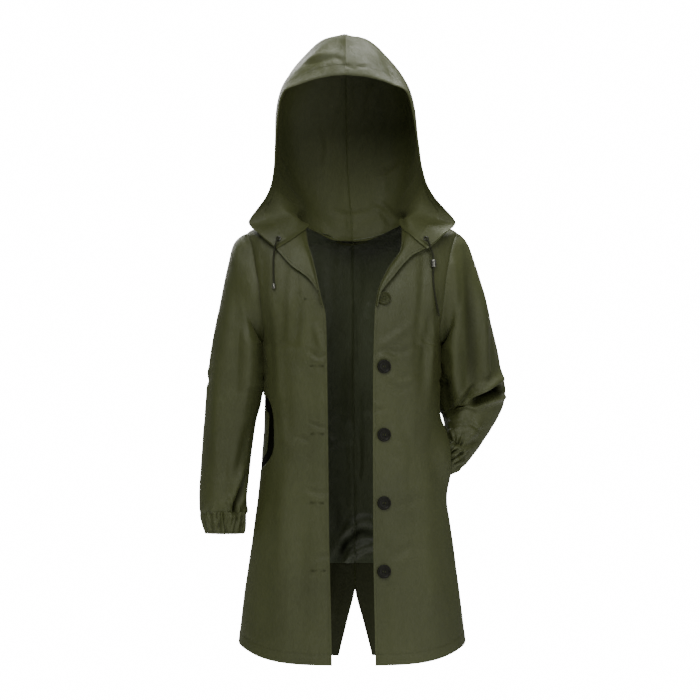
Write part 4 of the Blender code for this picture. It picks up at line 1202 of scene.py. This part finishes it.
ALLOWANCES = {  # (reach, drop) of the wider seam allowances at the back neck
    ("hood", "low"): (0.0075, 0.0022),
    ("back", "high"): (0.0050, 0.0014),
    ("lining", "high"): (0.0050, 0.0004),
}
ALLOWANCE = (0.0016, 0.0011)  # and of every other one
SHADE_START, SHADE_SPAN = 0.0025, 0.0140  # the fold depths between which painted shade darkens the cloth
THREAD_LIFT = 0.0001
OUTER_GATHERS, INNER_GATHERS = 0.6, 1.1  # gathers' height on a sleeve's outer side, and more of it inside
LEAST_FLAT, LEAST_FILLED = 0.010, 0.3  # the smallest flat side, and a share of its rectangle


def fold_rise(cloth, sleeve, gathered, seams, stitched, puckers):
    """How far folds, gathers and seams move each point of a piece along its normal."""
    flat, facing = cloth.grid.reshape(-1, 3), cloth.normals.reshape(-1, 3)
    rise = drape(flat, facing, sleeve).reshape(cloth.u.shape)
    for edge, reach, height, pitch, seed in gathered:
        inner = soft_step(-facing[:, 0] * np.sign(flat[:, 0]), -0.45, 0.5).reshape(cloth.u.shape)
        share = OUTER_GATHERS + INNER_GATHERS * inner
        rise = rise + gathers(cloth, edge, reach, height, pitch, seed) * share
    for edge in seams:
        rise = rise + seam_edge(cloth, edge)
    for number, (edge, inset) in enumerate(stitched):
        rise = rise + seam_bed(cloth, edge, inset, puckers, number + 2)
    return rise


def sew(name, spacing, kinds, stitched=(), seams=(), gathered=(), sleeve=False, thick=0.0011,
        forward_last=False, puckers=0.0004):
    """One cloth piece on its own CAD wall, with its folds, seams and stitching.

    Kinds are the materials of its right and wrong side. Stitched holds (edge, inset) for each line of
    stitching, gathered (edge, reach, height, pitch, seed), and seams the edges sewn to another piece.
    """
    cloth = Cloth(name, spacing, forward_last)
    width, length, area = flat_size(cloth)
    if name == MOUTH_FRONT:
        draw_back(cloth)
    rise = fold_rise(cloth, sleeve, gathered, seams, stitched, puckers)
    low = -rise
    flat, facing = cloth.grid.reshape(-1, 3), cloth.normals.reshape(-1, 3)
    if name.startswith("lining"):
        slack = fold_height(seen(flat), LINING_FOLDS).reshape(rise.shape)
        rise, low = rise - np.maximum(slack, 0), rise - slack
    if sleeve:
        rise = rise + pressed(flat, facing).reshape(rise.shape)
    cloth.move(rise)
    cloth.measure()
    runs = [thread_run(*cloth.inset_line(edge, inset, THREAD_LIFT)) for edge, inset in stitched]
    # painted shade: how deep each point lies in a trough, which its materials darken
    shade = np.clip((low - SHADE_START) / SHADE_SPAN, 0, 1)
    for edge in seams:
        cloth.measure()
        shade = widened(shade, edge)
        cloth.tuck(edge, *ALLOWANCES.get((name.split("_")[0], edge), ALLOWANCE))
    if name == MOUTH_BACK:
        mouth_facing(cloth)
        shade = np.pad(shade, ((0, 0), (0, cloth.grid.shape[1] - shade.shape[1])), mode="edge")
    item = wall_object(name + "_cloth", cloth, thick, [finish_of(kind) for kind in kinds], shade)
    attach(item, "root")
    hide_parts(name)
    with_it = [thread_object(name + "_stitching", runs)] if stitched else []
    width, length = max(width, LEAST_FLAT), max(length, LEAST_FLAT)
    return cloth


SHARP = math.radians(40)  # edges of turned pieces above this angle stay sharp
CORD_RADIUS = 0.0018
BRAID_STRANDS, BRAID_PITCH, BRAID_RELIEF = 6, 1900, 0.07  # strands each way, radians a metre, share of radius
BRAID_STEP, BRAID_SEGMENTS = 0.0006, 24


def reworked(item, change):
    """Runs a change on an object's mesh and turns all of its faces outward."""
    made = bmesh.new()
    made.from_mesh(item.data)
    change(made)
    bmesh.ops.recalc_face_normals(made, faces=made.faces)
    made.to_mesh(item.data)
    made.free()
    item.data.shade_smooth()


def round_part(name, which, forward=None):
    """A small round CAD solid's middle, axis, farthest and nearest radius, and half its length.

    The axis is its longest way (0) or its shortest (2), turned towards forward where that is given.
    """
    points = np.array([v.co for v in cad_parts[name].data.vertices], float)
    middle = points.mean(axis=0)
    axis = np.linalg.svd(points - middle, full_matrices=False)[2][which]
    if forward is not None and axis @ forward < 0:
        axis = -axis
    level = (points - middle) @ axis
    far = np.linalg.norm(points - middle - level[:, None] * axis, axis=1)
    return middle, axis, far.max(), far.min(), np.abs(level).max()


def turned(name, profile, middle, axis, material, slot, segments=48):
    """A piece turned on an axis from a profile of (radius, height) points."""
    axis = unit(np.asarray(axis, float))
    side = unit(np.cross(axis, (0.3, 0.8, 0.52)))  # any way that no axis here runs along
    other = np.cross(axis, side)
    profile = np.array(profile, float)
    angle = np.arange(segments) * math.tau / segments
    around = np.cos(angle)[:, None] * side + np.sin(angle)[:, None] * other
    points = middle + profile[:, 1][:, None, None] * axis + profile[:, 0][:, None, None] * around[None]
    quads, uvs = ring_quads(len(profile), segments, line_lengths(profile) * 100)
    item = new_mesh(name, points.reshape(-1, 3), quads, uvs, [0] * len(quads), [material])
    reworked(item, lambda made: bmesh.ops.remove_doubles(made, verts=made.verts, dist=2e-5))
    item.data.set_sharp_from_angle(angle=SHARP)
    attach(item, "root")
    return item


def cap_ends(made):
    bmesh.ops.holes_fill(made, edges=[e for e in made.edges if e.is_boundary], sides=0)


def tube(name, route, radius, material):
    """A cord along a route, with the crossing strands of its braid and round ends."""
    route = np.array(route, float)
    steps = line_lengths(route)
    path = through(steps, route, np.linspace(0, steps[-1], 400))
    length = line_lengths(path)
    count = int(length[-1] / BRAID_STEP)
    at = np.linspace(0, length[-1], count)
    path = np.stack([np.interp(at, length, path[:, k]) for k in range(3)], axis=1)
    way = unit(np.gradient(path, axis=0))
    side = unit(np.cross(way[0], (1.0, 0.1, 0.2)))
    sides = []
    for direction in way:
        side = unit(side - direction * (side @ direction))
        sides.append(side)
    sides = np.array(sides)
    others = np.cross(way, sides)
    angle = np.arange(BRAID_SEGMENTS) * math.tau / BRAID_SEGMENTS
    turn, along = BRAID_STRANDS * angle[None], at[:, None] * BRAID_PITCH
    cross = np.maximum(np.sin(turn + along), np.sin(turn - along))
    ends = np.minimum(at, at[-1] - at)[:, None]
    swell = np.sqrt(np.clip(1 - (1 - np.clip(ends / (radius * 0.6), 0, 1)) ** 2, 0.02, 1))
    reach = radius * (1 - BRAID_RELIEF + BRAID_RELIEF * cross) * swell
    around = np.cos(angle)[None, :, None] * sides[:, None] + np.sin(angle)[None, :, None] * others[:, None]
    points = path[:, None] + around * reach[..., None]
    quads, uvs = ring_quads(count, BRAID_SEGMENTS, at * 5)
    item = new_mesh(name, points.reshape(-1, 3), quads, uvs, [0] * len(quads), [material])
    reworked(item, cap_ends)
    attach(item, "root")
    return item, path, float(length[-1])


# ------------------------------------------------------------------ small parts
BUTTONS = 5
FIRST_HOLE, HOLE_PITCH = -0.1165, 0.129  # the top buttonhole's height, and the drop to each next one
HOLE_INSET = 0.021  # from the front's edge
HOLE_LENGTH, HOLE_WIDTH, HOLE_BARS = 0.024, 0.0034, 46
BUTTON_THREAD = 0.0006
DRILL_PLACE, DRILL_RADIUS = 0.17, 0.085  # a button's four holes, as shares of its radius
BUTTON_PROFILE = (  # shares of the disc's radius and of half its thickness, from back to front
    (0, -1), (0.80, -1), (0.93, -0.75), (0.99, -0.25), (1, 0.15), (0.985, 0.55), (0.94, 0.88), (0.87, 1),
    (0.79, 0.94), (0.73, 0.66), (0.68, 0.42), (0.60, 0.32), (0.3, 0.28), (0, 0.28),
)
BARREL_PROFILE = (  # half of it: shares of the barrel's radius and of half its length, middle to end
    (1, 0.28), (0.90, 0.34), (0.90, 0.44), (1, 0.50), (1, 0.82), (0.94, 0.94), (0.80, 1),
)
TIP_PROFILE = (
    (0, -1), (0.72, -1), (0.90, -0.92), (0.94, -0.7), (0.84, -0.55), (0.84, -0.45), (0.96, -0.3), (1, 0.1),
    (0.92, 0.6), (0.62, 0.93), (0, 1),
)
CORD_LEFT = (  # as in the part's source
    (-0.1408, -0.0832, -0.0008), (-0.1414, -0.0868, 0.0006), (-0.1432, -0.0898, -0.0030),
    (-0.1448, -0.0905, -0.0090), (-0.1468, -0.0888, -0.0165), (-0.1485, -0.0850, -0.0250),
    (-0.1497, -0.0832, -0.0350), (-0.1500, -0.0858, -0.0520), (-0.1498, -0.0902, -0.0710),
    (-0.1490, -0.0950, -0.0890),
)
CORD_RIGHT = (
    (0.1420, -0.0831, -0.0007), (0.1426, -0.0867, 0.0007), (0.1442, -0.0897, -0.0030),
    (0.1462, -0.0905, -0.0090), (0.1490, -0.0890, -0.0165), (0.1520, -0.0855, -0.0250),
    (0.1542, -0.0855, -0.0330), (0.1552, -0.0872, -0.0430), (0.1552, -0.0880, -0.0560),
    (0.1545, -0.0888, -0.0680), (0.1552, -0.0920, -0.0880), (0.1580, -0.0910, -0.1100),
    (0.1622, -0.0862, -0.1300), (0.1668, -0.0805, -0.1500),
)


def stitch_bar(start, end, up):
    """One raised bar of button thread from start to end."""
    line = np.linspace(start, end, 4)
    lift = np.array([0, 1, 1, 0])[:, None] * unit(np.asarray(up, float)) * BUTTON_THREAD * 0.6
    whole = 0.9 * float(np.linalg.norm(end - start))
    return thread_run(line + lift, np.tile(up, (4, 1)), stitch=whole, gap=0.0, thick=BUTTON_THREAD)


def buttonhole(place, across, up):
    """The close bars of thread round a buttonhole, each a run of its own."""
    down, half = np.cross(up, across), HOLE_WIDTH / 2
    bars = []
    for k in range(HOLE_BARS):
        turn = k / HOLE_BARS * math.tau
        out = unit(across * math.cos(turn) * 0.3 + down * math.sin(turn))
        spot = place + across * (math.copysign(abs(math.cos(turn)) ** 0.6, math.cos(turn)) * HOLE_LENGTH / 2)
        bar = np.linspace(spot + out * half * 0.25, spot + out * half, 4)
        bars.append(thread_run(bar, np.tile(up, (4, 1)), stitch=half * 0.7, gap=0.0, thick=0.00055))
    return bars


def buttonholes(cloth):
    """The worked buttonholes on the left front, level with the buttons."""
    flat, normals = cloth.grid.reshape(-1, 3), cloth.normals.reshape(-1, 3)
    inward = cloth.from_edge("first").ravel()
    bars = []
    for number in range(BUTTONS):
        level = FIRST_HOLE - HOLE_PITCH * number
        best = np.argmin(np.abs(flat[:, 2] - level) + 2 * np.abs(inward - HOLE_INSET))
        up = normals[best]
        bars += buttonhole(flat[best] + up * 0.0002, unit(np.cross(up, (0, 0, 1.0))), up)
    thread_object("buttonholes", bars)


def cut_out(item, tools):
    """Cuts the tools' shapes out of an object and removes the tools."""
    bpy.context.view_layer.objects.active = item
    for tool in tools:
        cut = item.modifiers.new("hole", "BOOLEAN")
        cut.operation, cut.object, cut.solver = "DIFFERENCE", tool, "EXACT"
        with bpy.context.temp_override(object=item, active_object=item, selected_objects=[item]):
            bpy.ops.object.modifier_apply(modifier=cut.name)
        bpy.data.objects.remove(tool)
    item.data.set_sharp_from_angle(angle=SHARP)


def sewn_button(number, material, slot):
    """A four-hole button with a raised rim, turned from the place and tilt of its CAD disc."""
    middle, axis, r, _, h = round_part(f"button_{number}", 2, (0, -1, 0))
    profile = [(r * wide, h * high) for wide, high in BUTTON_PROFILE]
    item = turned(f"button_{number}_disc", profile, middle, axis, material, slot, 64)
    side = unit(np.cross(axis, (0.0, 0.0, 1.0)) + 0.12 * np.array([0, 0, 1.0]))
    other = np.cross(axis, side)
    apart, bore = r * DRILL_PLACE, r * DRILL_RADIUS
    spots = [side * a * apart + other * b * apart for a, b in ((1, 1), (1, -1), (-1, -1), (-1, 1))]
    drill = ((0, -2 * h), (bore, -2 * h), (bore, 2 * h), (0, 2 * h))
    cut_out(item, [turned("hole", drill, middle + spot, axis, material, slot, 16) for spot in spots])
    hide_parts(f"button_{number}")
    top = middle + axis * h * 0.30
    bars = []
    for a, b in ((0, 1), (3, 2)):
        for shift in (-side * BUTTON_THREAD / 2, side * BUTTON_THREAD / 2):
            bars.append(stitch_bar(top + spots[a] + shift, top + spots[b] + shift, axis))
    thread_object(f"button_{number}_thread", bars)


def eyelet_ring(side):
    """A rolled metal ring on its CAD eyelet."""
    middle, axis, outer, inner, half = round_part(f"eyelet_{side}", 2, (0, -1, 0))
    ring, roll = (outer + inner) / 2, (outer - inner) / 2
    turn = np.linspace(0, math.tau, 17)
    profile = np.stack([ring + roll * np.cos(turn), half * np.sin(turn)], axis=1)
    item = turned(f"eyelet_{side}_ring", profile, middle, axis, finish_of("eyelet"), "metal")
    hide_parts(f"eyelet_{side}")


def cord_end():
    """The right drawcord's metal barrel, with two turned grooves."""
    middle, axis, r, _, h = round_part("cord_end_right", 0)
    bore = CORD_RADIUS * 1.05
    shape = [(r * wide, h * high) for wide, high in BARREL_PROFILE]
    profile = [(bore, -h), *((wide, -high) for wide, high in reversed(shape)), *shape, (bore, h), (bore, -h)]
    item = turned("cord_end_right_barrel", profile, middle, axis, finish_of("metal"), "metal")
    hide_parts("cord_end_right")
    return item


def cord_tip():
    """The left drawcord's crimped metal tip."""
    middle, axis, r, _, h = round_part("cord_tip_left", 0, (0, 0, -1))
    profile = [(r * wide, h * high) for wide, high in TIP_PROFILE]
    item = turned("cord_tip_left_cap", profile, middle, axis, finish_of("metal"), "metal")
    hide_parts("cord_tip_left")
    return item


def drawcord(side, route, fitting):
    """One free end of the drawcord, as a braided tube; fitting is not used."""
    item, path, length = tube(f"drawcord_{side}_braid", route, CORD_RADIUS, finish_of("cord"))
    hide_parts(f"drawcord_{side}")


# ------------------------------------------------------------------ add-on
class JacketFinish(bpy.types.PropertyGroup):
    shell: bpy.props.FloatVectorProperty(
        name="Shell",
        description="Colour of the outer cloth",
        subtype="COLOR",
        default=(0.0505, 0.0575, 0.0175),
    )
    lining: bpy.props.FloatVectorProperty(
        name="Lining", description="Colour of the lining", subtype="COLOR", default=(0.052, 0.062, 0.030)
    )
    button: bpy.props.FloatVectorProperty(
        name="Buttons",
        description="Colour of the plastic buttons",
        subtype="COLOR",
        default=(0.0072, 0.0072, 0.0044),
    )
    cord: bpy.props.FloatVectorProperty(
        name="Drawcord", description="Colour of the drawcord", subtype="COLOR", default=(0.020, 0.022, 0.008)
    )
    metal: bpy.props.FloatVectorProperty(
        name="Metal",
        description="Colour of the eyelets and cord ends",
        subtype="COLOR",
        default=(0.24, 0.24, 0.21),
    )
    satin: bpy.props.FloatProperty(
        name="Roughness",
        description="Roughness of the outer cloth",
        subtype="FACTOR",
        default=0.45,
        min=0,
        max=1,
    )


class JacketSewing(bpy.types.PropertyGroup):
    detail: bpy.props.FloatProperty(
        name="Cloth Spacing",
        description="Distance between the points of the cloth",
        unit="LENGTH",
        default=0.003,
    )
    hem: bpy.props.FloatProperty(
        name="Hem Depth",
        description="Height of the hem stitching above the hem",
        unit="LENGTH",
        default=0.021,
    )
    casing: bpy.props.FloatProperty(
        name="Hood Casing",
        description="Distance of the casing stitching from the hood's rim",
        unit="LENGTH",
        default=0.024,
    )
    edge: bpy.props.FloatProperty(
        name="Edge Stitching",
        description="Distance of the edge stitching from an edge",
        unit="LENGTH",
        default=0.0045,
    )


class JacketStudio(bpy.types.PropertyGroup):
    floor: bpy.props.FloatProperty(
        name="Floor Height",
        description="Height of the floor, from the back neck",
        unit="LENGTH",
        default=-1.46,
    )
    light: bpy.props.FloatProperty(
        name="Key Light", description="Power of the large soft light", unit="POWER", default=88.0
    )


class JACKET_OT_fronts(bpy.types.Operator):
    """Sew the left and right fronts, with the buttonholes on the left one"""

    bl_idname = "jacket.fronts"
    bl_label = "Fronts"

    def execute(self, context):
        sizes = context.scene.jacket_sewing
        for side in SIDES:
            cloth = sew(
                f"front_{side}", sizes.detail, ("shell", "inside"),
                (("low", sizes.hem), ("first", sizes.edge)), seams=("last", "high"),
            )
            if side == "left":
                buttonholes(cloth)
        return {"FINISHED"}


class JACKET_OT_facings(bpy.types.Operator):
    """Sew the facings that turn out as lapels"""

    bl_idname = "jacket.facings"
    bl_label = "Lapel Facings"

    def execute(self, context):
        sizes = context.scene.jacket_sewing
        for side in SIDES:
            sew(
                f"lapel_{side}", sizes.detail * 0.7, ("shell", "inside"), (("last", sizes.edge),),
                puckers=0.0003,
            )
        return {"FINISHED"}


class JACKET_OT_back(bpy.types.Operator):
    """Sew the two half backs with the centre seam and the vent"""

    bl_idname = "jacket.back"
    bl_label = "Back"

    def execute(self, context):
        sizes = context.scene.jacket_sewing
        for side in SIDES:
            sew(
                f"back_{side}", sizes.detail * 1.3, ("shell", "under"),
                (("low", sizes.hem), ("first", 0.006)), seams=("first", "last", "high"),
            )
        return {"FINISHED"}


class JACKET_OT_lining(bpy.types.Operator):
    """Sew the back lining, which ends above the vent"""

    bl_idname = "jacket.lining"
    bl_label = "Lining"

    def execute(self, context):
        sizes = context.scene.jacket_sewing
        for side in SIDES:
            sew(
                f"lining_{side}", sizes.detail * 1.2, ("lining", "lining"), (("low", 0.012),),
                seams=("first", "high"), thick=0.0009,
            )
        return {"FINISHED"}


class JACKET_OT_hood(bpy.types.Operator):
    """Sew the hood halves and the casing that the drawcord runs in"""

    bl_idname = "jacket.hood"
    bl_label = "Hood"

    def execute(self, context):
        sizes = context.scene.jacket_sewing
        for side in SIDES:
            sew(
                f"hood_{side}", sizes.detail * 1.1, ("shell", "inside"),
                (("last", sizes.casing), ("first", 0.004)), seams=("first", "low", "last"),
            )
            sew(
                f"hood_casing_{side}", sizes.detail * 0.8, ("inside", "shell"), (("first", 0.002),),
                forward_last=True, thick=0.0009, puckers=0.0003,
            )
        return {"FINISHED"}


class JACKET_OT_sleeves(bpy.types.Operator):
    """Sew the sleeves, the right one bent at the elbow, and their gathered cuffs"""

    bl_idname = "jacket.sleeves"
    bl_label = "Sleeves and Cuffs"

    def execute(self, context):
        sizes = context.scene.jacket_sewing
        for side, seed in zip(SIDES, (11, 23)):
            sew(
                f"sleeve_{side}", sizes.detail, ("shell", "inside"), (), seams=("low", "high"),
                gathered=(("high", 0.032, 0.0028, 0.013, seed),), sleeve=True,
            )
            sew(
                f"cuff_{side}", sizes.detail * 0.5, ("shell", "inside"),
                (("low", 0.003), ("high", 0.004)), seams=("low", "high"),
                gathered=(("low", 0.09, 0.0019, 0.0095, seed + 3),), sleeve=True, puckers=0.0002,
            )
        return {"FINISHED"}


class JACKET_OT_pockets(bpy.types.Operator):
    """Sew the pocket bags behind the side openings"""

    bl_idname = "jacket.pockets"
    bl_label = "Pockets"

    def execute(self, context):
        sizes = context.scene.jacket_sewing
        for side in SIDES:
            sew(f"pocket_{side}", sizes.detail * 1.2, ("pocket", "pocket"), (), thick=0.0009)
        return {"FINISHED"}


class JACKET_OT_hang_loop(bpy.types.Operator):
    """Sew the hang loop inside the back neck"""

    bl_idname = "jacket.hang_loop"
    bl_label = "Hang Loop"

    def execute(self, context):
        stitched = (("low", 0.0015), ("high", 0.0015))
        sew("hang_loop", 0.0010, ("inside", "inside"), stitched, puckers=0.0001)
        return {"FINISHED"}


class JACKET_OT_buttons(bpy.types.Operator):
    """Turn the five buttons and sew them on"""

    bl_idname = "jacket.buttons"
    bl_label = "Buttons"

    def execute(self, context):
        sewn_button(1, finish_of("top_button"), "top_button")
        for number in range(2, 6):
            sewn_button(number, finish_of("button"), "button")
        return {"FINISHED"}


class JACKET_OT_drawcords(bpy.types.Operator):
    """Lay the drawcord's free ends, with their eyelets, metal cord end and tip"""

    bl_idname = "jacket.drawcords"
    bl_label = "Drawcords"

    def execute(self, context):
        for side in SIDES:
            eyelet_ring(side)
        barrel = cord_end()
        drawcord("left", CORD_LEFT, cord_tip())
        drawcord("right", CORD_RIGHT, barrel)
        return {"FINISHED"}


PICTURE_WIDTH, SENSOR = 1.365, 36.0  # metres that the camera sees at the jacket's middle, and millimetres
FLOOR_RINGS, FLOOR_SEGMENTS = (0.0001, 1.0, 2.0, 3.0), 96
LIGHTS = (  # name, place, aim, size and share of the key light's power
    ("key_light", (-0.75, -2.65, 2.3), (0, 0, -0.25), 2.2, 1.0),
    ("fill_light", (1.9, -2.9, -0.1), (0, 0, -0.2), 2.4, 0.42),
    ("top_light", (0.5, 0.45, 2.5), (0, 0, -0.1), 1.4, 0.98),
    ("back_light", (-1.6, 2.8, 1.6), (0, 0, -0.3), 2.2, 0.6),
)
SKY_GLOW, SKY_SEEN = 0.2, 16.0  # the white surround: as light on the jacket, and as the camera sees it


def round_floor(height):
    """A pale floor, of rings of points round the jacket's own middle."""
    tree, shader = start_material("floor_finish", Roughness=0.85)
    tone = noise(tree, body_place(tree), 2.0)
    feed(tree, shader, Base_Color=mixed_colour(tree, tone, (0.80, 0.80, 0.79, 1), (0.86, 0.86, 0.85, 1)))
    angle = np.arange(FLOOR_SEGMENTS) * math.tau / FLOOR_SEGMENTS
    reach = np.array(FLOOR_RINGS)[:, None]
    flat = np.stack([reach * np.cos(angle), reach * np.sin(angle)], axis=-1)
    points = np.concatenate([flat, np.full((*flat.shape[:2], 1), height)], axis=-1).reshape(-1, 3)
    quads = ring_quads(len(FLOOR_RINGS), FLOOR_SEGMENTS, reach[:, 0])[0][:, ::-1]
    parts, finish = [0] * len(quads), bpy.data.materials["floor_finish"]
    return new_mesh("studio_floor", points, quads, points[quads][..., :2], parts, [finish])


def soft_light(name, place, aim, size, power):
    data = bpy.data.lights.new(name, "AREA")
    data.shape, data.size, data.energy = "DISK", size, power
    item = bpy.data.objects.new(name, data)
    item.location = place
    item.rotation_euler = (Vector(aim) - Vector(place)).to_track_quat("-Z", "Y").to_euler()
    bpy.context.collection.objects.link(item)


class JACKET_OT_studio(bpy.types.Operator):
    """Set the camera, the pale floor and the soft studio light"""

    bl_idname = "jacket.studio"
    bl_label = "Studio"

    def execute(self, context):
        look = context.scene.jacket_studio
        data = bpy.data.cameras.new("photo_camera")
        data.sensor_width, data.lens, data.clip_start = SENSOR, SENSOR * -EYE.y / PICTURE_WIDTH, 0.05
        camera = bpy.data.objects.new("photo_camera", data)
        camera.location, camera.rotation_euler = EYE, (math.radians(90), 0, 0)
        context.collection.objects.link(camera)
        context.scene.camera = camera
        round_floor(look.floor)

        for name, place, aim, size, share in LIGHTS:
            soft_light(name, place, aim, size, look.light * share)
        world = bpy.data.worlds.new("studio_world")
        world.use_nodes = True
        context.scene.world = world
        tree, shade = world.node_tree, world.node_tree.nodes["Background"]
        shade.inputs["Color"].default_value = (1, 1, 1, 1)
        in_view = add(tree, "ShaderNodeLightPath").outputs["Is Camera Ray"]
        feed(tree, shade, Strength=ramp(tree, in_view, 0.0, 1.0, SKY_GLOW, SKY_SEEN, smooth=False))
        return {"FINISHED"}


class JACKET_PT_panel(bpy.types.Panel):
    bl_label = "Rain Jacket"
    bl_idname = "JACKET_PT_panel"
    bl_space_type = "VIEW_3D"
    bl_region_type = "UI"
    bl_category = "Jacket"

    def draw(self, context):
        scene = context.scene
        for settings in (scene.jacket_finish, scene.jacket_sewing, scene.jacket_studio):
            box = self.layout.box()
            for key in settings.__annotations__:
                box.prop(settings, key)
        for step in STEPS:
            self.layout.operator(step.bl_idname)


STEPS = (
    JACKET_OT_studio,
    JACKET_OT_drawcords,
    JACKET_OT_fronts,
    JACKET_OT_facings,
    JACKET_OT_back,
    JACKET_OT_lining,
    JACKET_OT_hood,
    JACKET_OT_sleeves,
    JACKET_OT_pockets,
    JACKET_OT_hang_loop,
    JACKET_OT_buttons,
)
CLASSES = (JacketFinish, JacketSewing, JacketStudio, *STEPS, JACKET_PT_panel)


def register():
    for item in CLASSES:
        bpy.utils.register_class(item)
    bpy.types.Scene.jacket_finish = bpy.props.PointerProperty(type=JacketFinish)
    bpy.types.Scene.jacket_sewing = bpy.props.PointerProperty(type=JacketSewing)
    bpy.types.Scene.jacket_studio = bpy.props.PointerProperty(type=JacketStudio)


def unregister():
    del bpy.types.Scene.jacket_studio
    del bpy.types.Scene.jacket_sewing
    del bpy.types.Scene.jacket_finish
    for item in reversed(CLASSES):
        bpy.utils.unregister_class(item)


def main():
    register()
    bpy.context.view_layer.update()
    for step in STEPS:
        group_name, name = step.bl_idname.split(".")
        getattr(getattr(bpy.ops, group_name), name)()


if __name__ == "__main__":
    main()
